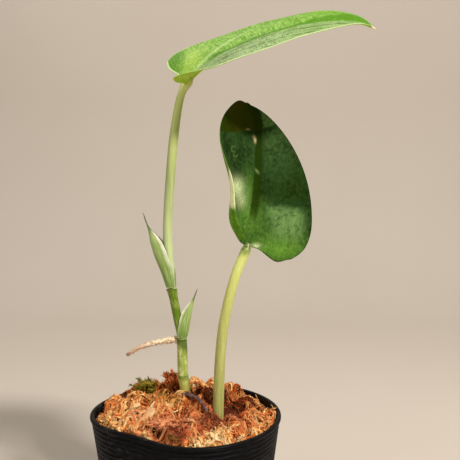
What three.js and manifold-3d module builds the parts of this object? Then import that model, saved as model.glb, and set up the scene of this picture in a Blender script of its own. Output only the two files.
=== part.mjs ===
// A potted sparkling scindapsus: two leaves and an upright stem in moss, in a soft black nursery pot.
// Millimetres, +Z up, +X right and +Y away as seen from the front.
// The origin is the middle of the pot's underside.

import * as THREE from 'three';
import { mergeVertices } from 'three/addons/utils/BufferGeometryUtils.js';
import Module from 'manifold-3d';

const wasm = await Module();
wasm.setup();

// Driving dimensions
const GAP = 0.35; // clearance between neighbouring pieces
const HOLE_GAP = 0.5; // clearance of the plain holes in the moss
const SEED = 41;

const POT = {
  height: 78,
  rimRadius: 44.2, // outer wall just under the lip
  baseRadius: 34,
  wall: 1,
  floor: 1.4,
  foot: 1.2, // bevel round the underside
  lip: { out: 0.8, in: 0.5, height: 2.2 },
  rings: 8, // moulded rings under the lip
  ringPitch: 2.1,
  ringDepth: 0.45,
  dent: 8, // how far the soft rim is pushed in at the front left
  dentAngle: 236,
  dentWidth: 22,
  bulge: 1.9, // and how far it is squeezed out on the left
  bulgeAngle: 176,
  bulgeWidth: 24,
  holes: 8,
  holeRadius: 3.5,
  holeCircle: 20,
  sides: 36,
};

const MOSS = {
  edge: 75.2, // height at the pot's wall
  crown: 85.4, // height at the middle
  crownAt: [-3, 7],
  lumps: [
    { height: 3, size: 7 },
    { height: 1.6, size: 3.1 },
  ],
  hollow: { at: [17, -4], depth: 5, across: 7, deep: 5 }, // sunk place round the right petiole
  rings: 8,
  strands: 42,
  strandLength: [9, 17],
  strandWidth: [1.1, 2],
  strandLift: [1.8, 3.9],
  strandBow: 0.35, // of its length, to either side
  strandsWithin: 38, // of the pot's axis
  fromWall: 2.6,
  clear: 1.2, // kept free between a strand and what else stands in the moss
};

const BLADE = { thickness: 0.8, rib: 1.3, tail: 0.035, tailWidth: 0.6, across: 16, along: 26 };

const STEM = {
  radius: 2.5,
  neck: 2.05, // radius of the upper internode
  rings: [94.9, 112.6, 136.6], // heights of the node rings
  ringOut: 0.35,
  ringHeight: 0.9,
};

// Colours
const COLOUR = {
  pot: 0x1f1f21,
  moss: 0xcf8a58,
  pinkMoss: 0xd98f70,
  redMoss: 0x9c4a22,
  greenMoss: 0x7f7a20,
  deadRoot: 0x4a2430,
  stem: 0x97b95c,
  sheath: 0xa6c484,
  petiole: 0xbccb70,
  upperLeaf: 0x7fb04a,
  rightLeaf: 0x35562e,
  aerialRoot: 0xcda578,
};

const vec = (x, y, z) => new THREE.Vector3(x, y, z);
const radians = THREE.MathUtils.degToRad;
const mix = THREE.MathUtils.lerp;
const smooth = (t) => THREE.MathUtils.smoothstep(t, 0, 1);
const bend = (s, [a, b, c]) => (1 - s) ** 2 * a + 2 * s * (1 - s) * b + s ** 2 * c;
const range = (n) => Array.from({ length: n }, (_, i) => i);

// Seeded random numbers from 0 to 1
function randomSource(seed) {
  let state = seed;
  return () => {
    state = (state + 0x6d2b79f5) | 0;
    let t = Math.imul(state ^ (state >>> 15), 1 | state);
    t = (t + Math.imul(t ^ (t >>> 7), 61 | t)) ^ t;
    return ((t ^ (t >>> 14)) >>> 0) / 4294967296;
  };
}

// Smooth hills on a plane: random heights on a unit lattice, blended between the corners
function hills(x, y) {
  const corner = (i, j) => {
    const s = Math.sin(i * 127.1 + j * 311.7 + SEED) * 43758.5453;
    return s - Math.floor(s) - 0.5;
  };
  const i = Math.floor(x);
  const j = Math.floor(y);
  const u = smooth(x - i);
  const v = smooth(y - j);
  const near = mix(corner(i, j), corner(i + 1, j), u);
  const far = mix(corner(i, j + 1), corner(i + 1, j + 1), u);
  return mix(near, far, v);
}

// Closed bodies and joining

function surface(points, triangles) {
  const geometry = new THREE.BufferGeometry();
  const numbers = points.flatMap((p) => [p.x, p.y, p.z]);
  geometry.setAttribute('position', new THREE.Float32BufferAttribute(numbers, 3));
  geometry.setIndex(triangles);
  return geometry;
}

// Rings of points in order along a body, each counter-clockwise seen from the far end, closed by two fans
function loft(rings) {
  const sides = rings[0].length;
  const points = rings.flat();
  const triangles = [];
  for (let i = 0; i < rings.length - 1; i += 1) {
    for (let j = 0; j < sides; j += 1) {
      const a = i * sides + j;
      const b = i * sides + ((j + 1) % sides);
      triangles.push(a, b, b + sides, a, b + sides, a + sides);
    }
  }
  const middle = (ring) => ring.reduce((sum, p) => sum.add(p), vec(0, 0, 0)).divideScalar(sides);
  const first = points.push(middle(rings[0])) - 1;
  const last = points.push(middle(rings.at(-1))) - 1;
  const end = (rings.length - 1) * sides;
  for (let j = 0; j < sides; j += 1) {
    const k = (j + 1) % sides;
    triangles.push(first, k, j, last, end + j, end + k);
  }
  return surface(points, triangles);
}

// A round or flattened tube along a curve. radiusAt(u) gives its half width, and flat scales it one way.
function tube(curve, radiusAt, sides, steps, flat = 1) {
  const { normals, binormals } = curve.computeFrenetFrames(steps, false);
  const rings = range(steps + 1).map((i) => {
    const u = i / steps;
    const centre = curve.getPointAt(u);
    const r = radiusAt(u, centre);
    return range(sides).map((j) => {
      const a = (2 * Math.PI * j) / sides;
      return centre
        .clone()
        .addScaledVector(normals[i], r * Math.cos(a))
        .addScaledVector(binormals[i], flat * r * Math.sin(a));
    });
  });
  return loft(rings);
}

function toSolid(geometry) {
  const bare = surface([], []);
  bare.setAttribute('position', geometry.getAttribute('position').clone());
  bare.setIndex(geometry.index ? Array.from(geometry.index.array) : null);
  const merged = mergeVertices(bare, 1e-4);
  const index = Array.from(merged.index.array);
  const kept = [];
  for (let i = 0; i < index.length; i += 3) {
    const [a, b, c] = index.slice(i, i + 3);
    if (a !== b && b !== c && c !== a) kept.push(a, b, c);
  }
  const mesh = new wasm.Mesh({
    numProp: 3,
    vertProperties: new Float32Array(merged.getAttribute('position').array),
    triVerts: new Uint32Array(kept),
  });
  return new wasm.Manifold(mesh);
}

function toGeometry(solid) {
  const { vertProperties, triVerts } = solid.getMesh();
  const geometry = new THREE.BufferGeometry();
  geometry.setAttribute('position', new THREE.BufferAttribute(new Float32Array(vertProperties), 3));
  geometry.setIndex(Array.from(triVerts));
  return geometry;
}

const join = (solids) => solids.reduce((whole, piece) => whole.add(piece));

// The largest body of a solid, without the scraps that a cut leaves
function largest(solid) {
  const bodies = solid.decompose();
  return bodies.reduce((best, body) => (body.volume() > best.volume() ? body : best));
}

const part = new THREE.Group();

function addMesh(name, geometry, color, roughness = 0.6) {
  geometry.computeVertexNormals();
  const material = new THREE.MeshStandardMaterial({ color, roughness, metalness: 0, flatShading: true });
  const mesh = new THREE.Mesh(geometry, material);
  mesh.name = name;
  part.add(mesh);
}

// Pot

// How far the soft wall is pushed in at an angle in degrees and a height: nothing at the base and most at
// the rim
function dentAt(degrees, z) {
  const bell = (middle, width) => {
    const away = ((degrees - middle + 540) % 360) - 180;
    return Math.exp(-0.5 * (away / width) ** 2);
  };
  const pushed = POT.dent * bell(POT.dentAngle, POT.dentWidth);
  const squeezed = POT.bulge * bell(POT.bulgeAngle, POT.bulgeWidth);
  return (pushed - squeezed) * Math.max(0, z / POT.height) ** 2.5;
}

function dented(x, y, z) {
  const r = Math.hypot(x, y);
  const degrees = (Math.atan2(y, x) * 180) / Math.PI;
  const scale = r < 1 ? 1 : (r - dentAt(degrees, z) * Math.min(1, r / POT.baseRadius)) / r;
  return vec(x * scale, y * scale, z);
}

const WALL_STATIONS = [20, 38, 56]; // heights where the bent wall is measured, below its rings
const outerWall = (z) => mix(POT.baseRadius, POT.rimRadius, z / POT.height);
const innerWall = (z) => outerWall(z) - POT.wall;

function potGeometry() {
  const { height, lip, rings, ringPitch, ringDepth, floor, foot, baseRadius } = POT;
  const under = height - lip.height;
  const outline = [[0, 0], [baseRadius - foot, 0], [outerWall(foot), foot]];
  WALL_STATIONS.forEach((z) => outline.push([outerWall(z), z]));
  const lowest = under - (rings + 0.5) * ringPitch;
  outline.push([outerWall(lowest), lowest]);
  for (let i = 0; i < rings; i += 1) {
    const z = lowest + (i + 0.4) * ringPitch;
    outline.push([outerWall(z) + ringDepth, z + ringPitch * 0.3], [outerWall(z), z + ringPitch * 0.75]);
  }
  const rim = outerWall(height);
  outline.push([rim - 0.2, under - 0.1], [rim + lip.out, under + 0.3], [rim + lip.out, height - 0.5]);
  outline.push([rim + 0.2, height], [rim - POT.wall - lip.in, height - 0.1], [innerWall(under), under - 1.5]);
  outline.push(...WALL_STATIONS.map((z) => [innerWall(z), z]).reverse());
  outline.push([innerWall(floor), floor], [0, floor]);
  const points = outline.map(([r, z]) => new THREE.Vector2(r, z));
  const lathe = new THREE.LatheGeometry(points, POT.sides);
  lathe.rotateX(Math.PI / 2);
  const place = lathe.getAttribute('position');
  for (let i = 0; i < place.count; i += 1) {
    const p = dented(place.getX(i), place.getY(i), place.getZ(i));
    place.setXYZ(i, p.x, p.y, p.z);
  }
  return lathe;
}

function pot() {
  let solid = toSolid(potGeometry());
  for (let i = 0; i < POT.holes; i += 1) {
    const drill = new THREE.CylinderGeometry(POT.holeRadius, POT.holeRadius, 6, 12);
    const angle = (2 * Math.PI * (i + 0.5)) / POT.holes;
    drill.rotateX(Math.PI / 2);
    drill.translate(POT.holeCircle * Math.cos(angle), POT.holeCircle * Math.sin(angle), 0);
    solid = solid.subtract(toSolid(drill));
  }
  return toGeometry(solid);
}

// Stem, with its buried stretch, and roots

const stemPath = new THREE.CatmullRomCurve3([
  vec(-0.5, 4.5, 61.5),
  vec(-0.9, 5, 84),
  vec(-2.2, 4, 94.9),
  vec(-2.9, 4, 112.6),
  vec(-5.2, 4, 125),
  vec(-7.5, 4, 137.2),
]);
const runnerPath = new THREE.CatmullRomCurve3([
  vec(-4, 7, 61),
  vec(-0.6, 4.5, 62),
  vec(6.5, -2, 59),
  vec(12.8, -7.6, 60),
  vec(14.9, -9, 63.5),
  vec(15, -9, 67.8),
]);
const rootPaths = [
  [vec(-2, 6, 60), vec(-14, 10, 50), vec(-20, 4, 34)],
  [vec(5, -1, 59), vec(4, -14, 48), vec(10, -20, 30)],
  [vec(10, -5, 59), vec(20, 2, 46), vec(18, 12, 26)],
].map((points) => new THREE.CatmullRomCurve3(points));

// Thickness of the stem at a height: slimmer above the middle ring, with a raised band at each ring
function stemRadius(z) {
  const body = mix(STEM.radius, STEM.neck, smooth((z - STEM.rings[1]) / 2));
  const top = 0.4 * smooth((z - 132) / 5);
  const bands = STEM.rings.map((ring) => Math.exp(-(((z - ring) / STEM.ringHeight) ** 2)));
  return body + top + STEM.ringOut * Math.max(...bands);
}

function stem(extra = 0) {
  const upright = tube(stemPath, (u, p) => stemRadius(p.z) + extra, 8, extra ? 12 : 42);
  const runner = tube(runnerPath, (u) => mix(2.2, 2.6, u) + extra, 8, 7);
  const roots = rootPaths.map((path) => tube(path, (u) => mix(1.3, 0.6, u) + extra, 5, 5));
  return join([upright, runner, ...roots].map(toSolid));
}

// Petioles

const upperPetiolePath = new THREE.CatmullRomCurve3([
  vec(-7.6, 4, 137.7),
  vec(-8.9, 4, 152),
  vec(-9.3, 4, 165),
  vec(-8, 4, 187.6),
  vec(-5.4, 4, 214),
  vec(-2.6, 4, 228.5),
  vec(-0.3, 4, 233.2),
]);
const rightPetiolePath = new THREE.CatmullRomCurve3([
  vec(15, -9, 68.4),
  vec(15.1, -9, 86.9),
  vec(17.4, -9, 121),
  vec(22.9, -8, 144.6),
  vec(27.3, -6, 155),
  vec(29, -4.6, 158),
]);

function upperPetiole() {
  const radius = (u, p) => {
    const sheathed = mix(1.6, 2.15, smooth((p.z - 139) / 9));
    return p.z > 216 ? mix(2.15, 1.75, smooth((p.z - 216) / 14)) : sheathed;
  };
  return tube(upperPetiolePath, radius, 9, 22);
}

function rightPetiole(extra = 0) {
  const radius = (u, p) => mix(2.5, 1.7, smooth((p.z - 75) / 85)) + extra;
  return tube(rightPetiolePath, radius, 9, 20);
}

// Sheaths

// A folded scale leaf round a stem, drawn out to a thread. At each station its section is a half ring, with
// its back towards angle `back`, and two straight arms that reach round what it holds.
function sheath({ centre, deep, wide, arm, back, thickness, steps }) {
  const turn = radians(back);
  const backward = vec(Math.cos(turn), Math.sin(turn), 0);
  const sideways = vec(-Math.sin(turn), Math.cos(turn), 0);
  const across = 10;
  const outer = [];
  const inner = [];
  for (let i = 0; i <= steps; i += 1) {
    const t = i / steps;
    const middle = centre.getPoint(t);
    const section = (shrink) =>
      range(across + 1).map((j) => {
        const v = (2 * j) / across - 1;
        const angle = THREE.MathUtils.clamp(v * 2, -1, 1) * (Math.PI / 2);
        const beyond = Math.max(0, Math.abs(v) * 2 - 1) * arm.getPoint(t).y;
        const a = Math.max(0.04, deep.getPoint(t).y - shrink) * Math.cos(angle) - beyond;
        const b = Math.max(0.04, wide.getPoint(t).y - shrink) * Math.sin(angle);
        return middle.clone().addScaledVector(backward, a).addScaledVector(sideways, b);
      });
    outer.push(section(0));
    inner.push(section(thickness));
  }
  return sheet(outer, inner);
}

// The closed body between two like grids of points, outer and inner, split alike on both faces
function sheet(outer, inner) {
  const rows = outer.length;
  const columns = outer[0].length;
  const points = [...outer.flat(), ...inner.flat()];
  const shift = rows * columns;
  const at = (i, j) => i * columns + j;
  const triangles = [];
  for (let i = 0; i < rows - 1; i += 1) {
    for (let j = 0; j < columns - 1; j += 1) {
      const [a, b, c, d] = [at(i, j), at(i, j + 1), at(i + 1, j + 1), at(i + 1, j)];
      triangles.push(a, b, c, a, c, d);
      triangles.push(a + shift, c + shift, b + shift, a + shift, d + shift, c + shift);
    }
  }
  const edge = (a, b) => triangles.push(b, a, a + shift, b, a + shift, b + shift);
  range(columns - 1).forEach((j) => edge(at(0, j), at(0, j + 1)));
  range(rows - 1).forEach((i) => edge(at(i, columns - 1), at(i + 1, columns - 1)));
  range(columns - 1).forEach((j) => edge(at(rows - 1, columns - 1 - j), at(rows - 1, columns - 2 - j)));
  range(rows - 1).forEach((i) => edge(at(rows - 1 - i, 0), at(rows - 2 - i, 0)));
  return surface(points, triangles);
}

const profile = (...values) =>
  new THREE.SplineCurve(values.map((value, i) => new THREE.Vector2(i / (values.length - 1), value)));

function lowerSheath() {
  return sheath({
    centre: new THREE.CatmullRomCurve3([
      vec(-2.9, 4, 114),
      vec(-1.9, 4, 118.6),
      vec(-0.8, 4, 123.2),
      vec(0.9, 3.9, 127.8),
      vec(3.1, 3.8, 132.4),
      vec(4.8, 3.6, 137),
    ]),
    deep: profile(3, 3, 2.9, 2.8, 2.6, 2.3, 1.8, 1.1, 0.5, 0.45, 0.4),
    wide: profile(3.2, 3.3, 3.2, 3, 2.7, 2.4, 1.9, 1.2, 0.5, 0.45, 0.4),
    arm: profile(1.6, 1.7, 1.8, 2, 2.2, 2.2, 1.7, 1, 0.4, 0.3, 0.3),
    back: -12,
    thickness: 0.6,
    steps: 12,
  });
}

function upperSheath() {
  return sheath({
    centre: new THREE.CatmullRomCurve3([
      vec(-7.6, 4, 138.3),
      vec(-9.5, 4, 145.4),
      vec(-12, 4, 152.4),
      vec(-14.8, 4, 159.5),
      vec(-18.4, 4, 166.5),
      vec(-20.9, 4, 173.5),
    ]),
    deep: profile(2.6, 2.9, 3.2, 3.5, 3.6, 3.4, 2.9, 1.6, 0.6, 0.45, 0.4),
    wide: profile(2.6, 2.9, 3.1, 3.2, 3.2, 2.9, 2.3, 1.4, 0.5, 0.45, 0.4),
    arm: profile(2.1, 2.7, 3.3, 3.5, 3.5, 3.5, 3.2, 2.2, 0.6, 0.3, 0.3),
    back: 176,
    thickness: 0.6,
    steps: 12,
  });
}

// Leaf blades

// Half width of a blade at s, 0 at its base and 1 at its tip: an ellipse out to the widest place, squarer
// where `full` is over 2, then a rounded taper that leaves a short narrow tail
function bladeWidth(s, { width, widest, start, full, taper }) {
  if (s < widest) return width * (1 - ((widest - s) / (widest + start)) ** full) ** (1 / full);
  const q = Math.min(1, (s - widest) / (1 - BLADE.tail - widest));
  return width * (1 - q * q) ** taper + BLADE.tailWidth * (1.3 - s);
}

// A blade hangs on its midrib curve. At s the frame has T along it, B to the side and N out of the upper
// face. Each half is an arc from the midrib: it leaves at `fold` degrees and turns by `curl` degrees out to
// the margin, and its lobe is swept back from the base, less by `tuck` at the margin. The tip hangs down by
// `hook`.
function bladeGrid(leaf) {
  const midrib = new THREE.CubicBezierCurve3(...leaf.midrib);
  const axis = leaf.axis.clone().normalize();
  const rows = range(BLADE.along + 1).map((i) => {
    const s = 0.5 - 0.5 * Math.cos((Math.PI * i) / BLADE.along);
    const along = axis.clone().lerp(midrib.getTangentAt(s), smooth(Math.min(1, s / 0.3))).normalize();
    const level = leaf.facing.clone().addScaledVector(along, -leaf.facing.dot(along)).normalize();
    const side = along.clone().cross(level).applyAxisAngle(along, -radians(bend(s, leaf.roll)));
    const normal = side.clone().cross(along);
    return range(BLADE.across + 1).map((j) => {
      const w = (2 * j) / BLADE.across - 1;
      const half = w < 0 ? leaf.left : leaf.right;
      const a = Math.abs(w);
      const width = bladeWidth(s, half);
      const fold = radians(bend(s, half.fold));
      const curl = radians(bend(s, half.curl)) || 1e-4;
      const out = (width * (Math.sin(fold + curl * a) - Math.sin(fold))) / curl;
      const up = (width * (Math.cos(fold) - Math.cos(fold + curl * a))) / curl;
      const reach = smooth(Math.min(1, a / 0.8)) - half.tuck * smooth(Math.max(0, (a - 0.6) / 0.4));
      const back = half.lobe * (1 - s) ** half.lobeEnd * reach;
      return midrib
        .getPointAt(s)
        .addScaledVector(along, -back)
        .addScaledVector(side, Math.sign(w) * out)
        .addScaledVector(normal, up)
        .add(vec(0, 0, -leaf.hook * s ** 24));
    });
  });
  return rows;
}

// Gives a blade its thickness, on its under side, with a raised midrib there
function blade(leaf) {
  const upper = bladeGrid(leaf);
  const last = upper.length - 1;
  const lower = upper.map((row, i) =>
    row.map((p, j) => {
      const along = upper[Math.min(last, i + 1)][j].clone().sub(upper[Math.max(0, i - 1)][j]);
      const across = row[Math.min(row.length - 1, j + 1)].clone().sub(row[Math.max(0, j - 1)]);
      const normal = across.cross(along).normalize();
      const middle = j === (row.length - 1) / 2 ? 1 : 0;
      const rib = middle * BLADE.rib * (1 - i / last);
      return p.clone().addScaledVector(normal, -(BLADE.thickness + rib));
    }),
  );
  return sheet(upper, lower);
}

// Reaches out to the right, tilted to the front
const upperLeafShape = {
  midrib: [vec(-0.2, 4, 234.6), vec(11.5, 9.6, 252.8), vec(56.5, -2.4, 268.3), vec(89, -0.7, 259.9)],
  axis: vec(0.96, 0, 0.28),
  facing: vec(0, -0.513, 0.862),
  roll: [-3.3, 0.9, -3.9],
  hook: 3,
  left: {
    ...{ width: 24.4, widest: 0.04, start: 0.09, full: 2, taper: 0.7, lobe: 6.6, lobeEnd: 1.65, tuck: 0 },
    ...{ fold: [9.6, -6.8, 21.5], curl: [-6.8, -29, -14] },
  },
  right: {
    ...{ width: 27.4, widest: 0.15, start: 0.16, full: 2, taper: 0.68, lobe: 4.4, lobeEnd: 1.3, tuck: 0 },
    ...{ fold: [28, -3.7, 21], curl: [11.5, -27, -4.6] },
  },
};

// Stands up, leaning back, with the left half rolled in from the base
const rightLeafShape = {
  midrib: [vec(29.4, -4, 158.8), vec(33, 2, 175.5), vec(40, 26, 222.6), vec(29.2, 39, 229.8)],
  axis: vec(0.08, 0.12, 0.99),
  facing: vec(0, -1, 0),
  roll: [-10, 0.5, -14],
  hook: 0,
  left: {
    ...{ width: 33.5, widest: 0.41, start: 0.03, full: 2, taper: 0.75, lobe: -2.5, lobeEnd: 2, tuck: 0 },
    ...{ fold: [-4, 46, 12], curl: [148, -32, 95] },
  },
  right: {
    ...{ width: 27.5, widest: 0.15, start: 0.04, full: 2.6, taper: 1.3, lobe: 7.4, lobeEnd: 1.3, tuck: 0.3 },
    ...{ fold: [-3, 2.5, 11], curl: [5, 14.5, 30] },
  },
};

// Aerial root

const aerialRootPath = new THREE.CatmullRomCurve3([
  vec(-6.1, 4, 112.4),
  vec(-11, 3, 111.8),
  vec(-17, 0, 111.3),
  vec(-23, -2.5, 109.7),
  vec(-28, -4, 106.8),
]);

function aerialRoot() {
  return tube(aerialRootPath, (u) => mix(1.05, 0.45, u), 7, 11);
}

// Moss

function mossHeight(x, y) {
  const r = Math.min(1, Math.hypot(x - MOSS.crownAt[0], y - MOSS.crownAt[1]) / 44);
  const dome = mix(MOSS.edge, MOSS.crown, (1 - r * r) ** 1.2);
  const lumps = MOSS.lumps.map(({ height, size }, i) => height * hills(x / size + 9 * i, y / size));
  const { at, depth, across, deep } = MOSS.hollow;
  const hollow = depth * Math.exp(-(((x - at[0]) / across) ** 2) - ((y - at[1]) / deep) ** 2);
  return dome + lumps[0] + lumps[1] - hollow;
}

const onMoss = (x, y) => vec(x, y, mossHeight(x, y) - 0.3);

function mossMound() {
  const reach = (angle, z) => innerWall(z) - GAP - dentAt(angle, z);
  const circle = (radiusAt, heightAt) =>
    range(POT.sides).map((j) => {
      const angle = (360 * j) / POT.sides;
      const r = radiusAt(angle);
      const [x, y] = [r * Math.cos(radians(angle)), r * Math.sin(radians(angle))];
      return vec(x, y, heightAt(x, y));
    });
  const floor = POT.floor + GAP;
  const rings = [0.5, 1].map((part) => circle((a) => part * (reach(a, floor) - 0.3), () => floor));
  WALL_STATIONS.forEach((z) => rings.push(circle((a) => reach(a, z), () => z)));
  for (let k = 0; k < MOSS.rings; k += 1) {
    const part = 1 - k / MOSS.rings;
    rings.push(circle((a) => part * (reach(a, MOSS.edge) - POT.lip.in - 0.6), mossHeight));
  }
  return loft(rings);
}

// A curled strand of moss on the surface: it leaves the moss at one place, arches and dives in again
function strandPath(place, heading, length, bow, lift) {
  const points = [0, 0.3, 0.65, 1].map((t) => {
    const arch = Math.sin(Math.PI * t);
    const x = place.x + Math.cos(heading) * length * (t - 0.5) - Math.sin(heading) * bow * arch;
    const y = place.y + Math.sin(heading) * length * (t - 0.5) + Math.cos(heading) * bow * arch;
    const away = Math.hypot(x, y);
    const angle = (Math.atan2(y, x) * 180) / Math.PI;
    const limit = innerWall(MOSS.edge) - dentAt(angle, MOSS.edge) - MOSS.fromWall;
    const hold = Math.min(1, limit / away);
    return vec(x * hold, y * hold, mossHeight(x * hold, y * hold) - 1.1 + lift * arch);
  });
  return new THREE.CatmullRomCurve3(points);
}

// What stands in the moss: its places, each with the radius that strands keep away
function obstacles() {
  return [
    ...Object.values(TUFTS).map(([, foot, , , lean]) => [foot, lean + 1]),
    ...deadRootPath.getPoints(7).map((point) => [point, 0.8]),
    [stemPath.getPoint(0.2), STEM.radius],
    [rightPetiolePath.getPoint(0.1), STEM.radius],
  ];
}

function strands(random, count) {
  const taken = obstacles();
  const placed = [];
  while (placed.length < count) {
    const angle = 2 * Math.PI * random();
    const r = MOSS.strandsWithin * Math.sqrt(random());
    const length = mix(...MOSS.strandLength, random());
    const width = mix(...MOSS.strandWidth, random());
    const place = vec(r * Math.cos(angle), r * Math.sin(angle), 0);
    const lift = mix(...MOSS.strandLift, random());
    const heading = 2 * Math.PI * random();
    const bow = mix(-1, 1, random()) * MOSS.strandBow * length;
    const path = strandPath(place, heading, length, bow, lift);
    const near = taken.some(([p, radius]) =>
      path.getPoints(6).some((q) => Math.hypot(q.x - p.x, q.y - p.y) < radius + width + MOSS.clear),
    );
    const thickness = (u) => width * (0.45 + 0.55 * Math.sin(Math.PI * mix(0.15, 0.95, u)));
    if (!near) placed.push(tube(path, thickness, 4, 3, 0.7));
  }
  return placed;
}

// An upright tuft: curled strands that spread from one root ball, each drawn with its seeded lean
function rootBall(foot, width, extra = 0) {
  const ball = new THREE.IcosahedronGeometry(width * 2 + extra, 1);
  ball.translate(foot.x, foot.y, foot.z);
  return toSolid(ball);
}

function tuft(seed, foot, count, height, lean, width) {
  const random = randomSource(seed);
  const pieces = range(count).map((i) => {
    const heading = (2 * Math.PI * (i + random() * 0.8)) / count;
    const out = lean * mix(0.5, 1.1, random());
    const top = height * mix(0.65, 1.1, random());
    const curl = mix(0.85, 1.05, random());
    const side = vec(out * Math.cos(heading), out * Math.sin(heading), 0);
    const curve = new THREE.QuadraticBezierCurve3(
      foot.clone(),
      foot.clone().addScaledVector(side, 0.3).add(vec(0, 0, top)),
      foot.clone().add(side).add(vec(0, 0, top * curl)),
    );
    return toSolid(tube(curve, (u) => width * mix(0.9, 0.4, u), 4, 3));
  });
  return toGeometry(largest(join([rootBall(foot, width), ...pieces])));
}

const TUFTS = {
  green: [7, onMoss(-22, 16), 11, 8.4, 7.2, 1.4],
  red: [13, onMoss(-9.2, 11.5), 8, 9.6, 4.6, 1.3],
  pink: [19, onMoss(-9.5, -24), 8, 5.4, 5, 1.5],
};

const deadRootPath = new THREE.CatmullRomCurve3([
  vec(-4.6, -1.2, 85.6),
  vec(1, -3.6, 85.4),
  vec(6.5, -7, 82.6),
  vec(10.4, -13.5, 79.6),
]);

function deadRoot(extra = 0) {
  return tube(deadRootPath, (u) => mix(0.8, 0.55, u) + extra, 6, 10);
}

function mossBed() {
  const random = randomSource(SEED);
  const pieces = [mossMound(), ...strands(random, MOSS.strands)];
  let bed = join(pieces.map(toSolid));
  bed = bed.subtract(stem(HOLE_GAP));
  bed = bed.subtract(toSolid(rightPetiole(HOLE_GAP)));
  bed = bed.subtract(toSolid(deadRoot(HOLE_GAP)));
  Object.values(TUFTS).forEach(([, foot, , , , width]) => {
    bed = bed.subtract(rootBall(foot, width, HOLE_GAP));
  });
  return toGeometry(largest(bed));
}

// Assembly
addMesh('pot', pot(), COLOUR.pot, 0.4);
addMesh('moss_bed', mossBed(), COLOUR.moss, 0.95);
addMesh('pink_moss', tuft(...TUFTS.pink), COLOUR.pinkMoss, 0.95);
addMesh('red_moss', tuft(...TUFTS.red), COLOUR.redMoss, 0.95);
addMesh('green_moss', tuft(...TUFTS.green), COLOUR.greenMoss, 0.95);
addMesh('dead_root', deadRoot(), COLOUR.deadRoot, 0.7);
addMesh('stem', toGeometry(stem()), COLOUR.stem, 0.45);
addMesh('lower_sheath', lowerSheath(), COLOUR.sheath, 0.5);
addMesh('upper_sheath', upperSheath(), COLOUR.sheath, 0.5);
addMesh('upper_petiole', upperPetiole(), COLOUR.petiole, 0.45);
addMesh('upper_leaf', blade(upperLeafShape), COLOUR.upperLeaf, 0.5);
addMesh('right_petiole', rightPetiole(), COLOUR.petiole, 0.45);
addMesh('right_leaf', blade(rightLeafShape), COLOUR.rightLeaf, 0.5);
addMesh('aerial_root', aerialRoot(), COLOUR.aerialRoot, 0.9);

export default part;
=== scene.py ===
"""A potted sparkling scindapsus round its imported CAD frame. Tables are in millimetres, +Z up, front at -Y."""

import math

import bpy
import numpy as np
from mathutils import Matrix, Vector
from mathutils.geometry import delaunay_2d_cdt


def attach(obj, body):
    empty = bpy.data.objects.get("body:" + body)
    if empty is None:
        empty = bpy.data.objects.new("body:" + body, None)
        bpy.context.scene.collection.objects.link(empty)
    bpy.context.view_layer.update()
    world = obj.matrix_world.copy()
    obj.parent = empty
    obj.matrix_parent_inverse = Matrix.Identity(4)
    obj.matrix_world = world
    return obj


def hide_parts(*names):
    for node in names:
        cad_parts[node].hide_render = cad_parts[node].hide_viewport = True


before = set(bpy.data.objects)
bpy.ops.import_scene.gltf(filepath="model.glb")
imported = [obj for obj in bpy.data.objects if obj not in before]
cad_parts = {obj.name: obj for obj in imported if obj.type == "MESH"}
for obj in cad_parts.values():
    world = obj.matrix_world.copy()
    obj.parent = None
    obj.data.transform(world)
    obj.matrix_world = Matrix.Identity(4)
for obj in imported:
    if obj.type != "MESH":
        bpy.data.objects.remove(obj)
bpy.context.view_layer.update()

# Camera

camera_data = bpy.data.cameras.new("camera")
camera_data.lens = 50
camera_data.sensor_width = 36
camera_data.clip_start = 0.01
camera = bpy.data.objects.new("camera", camera_data)
camera.location = (0.0205, -0.300, 0.1865)
camera.rotation_euler = (math.radians(90 - 4), 0, 0)  # level, then 4 degrees down
bpy.context.scene.collection.objects.link(camera)
bpy.context.scene.camera = camera

# Numbers

MM = 0.001
random = np.random.default_rng(41)
link = bpy.context.scene.collection.objects.link


def unit(v):
    """Each vector over its own length."""
    return v / np.maximum(np.linalg.norm(v, axis=-1, keepdims=True), 1e-12)


def mix(a, b, t):
    """From a where t is 0 straight to b where t is 1."""
    return a + (b - a) * t


def smooth(t):
    """0 below 0, 1 above 1, and 3 t squared less 2 t cubed between."""
    t = np.clip(t, 0, 1)
    return t * t * (3 - 2 * t)


def rise(t, start, span):
    """A smooth step from 0 at start to 1 a span further on."""
    return smooth((t - start) / span)


def fall(t, start, span):
    """A smooth step from 1 at start to 0 a span further on."""
    return 1 - rise(t, start, span)


def bell(t):
    """1 in the middle, and e to the power of minus t squared away from it."""
    return np.exp(-t * t)


def spots(x, y, places):
    """The sum of soft spots. Each place is (x, y, wide, deep, part), and part is the spot's height."""
    return sum(part * bell(np.hypot((x - u) / wide, (y - v) / deep)) for u, v, wide, deep, part in places)


def bend(s, values):
    """A quadratic Bezier blend of three numbers."""
    a, b, c = values
    return (1 - s) ** 2 * a + 2 * s * (1 - s) * b + s**2 * c


def around(count):
    """Even angles round a full turn."""
    return 2 * np.pi * np.arange(count) / count


def circle(count, start=0):
    """Even points on the unit circle."""
    turn = around(count) + start
    return np.stack([np.cos(turn), np.sin(turn)], 1)


def drawn(count, low, high, power=1):
    """Random numbers from low to high, closer to low where power is over 1."""
    return mix(low, high, random.random(count) ** power)


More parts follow.
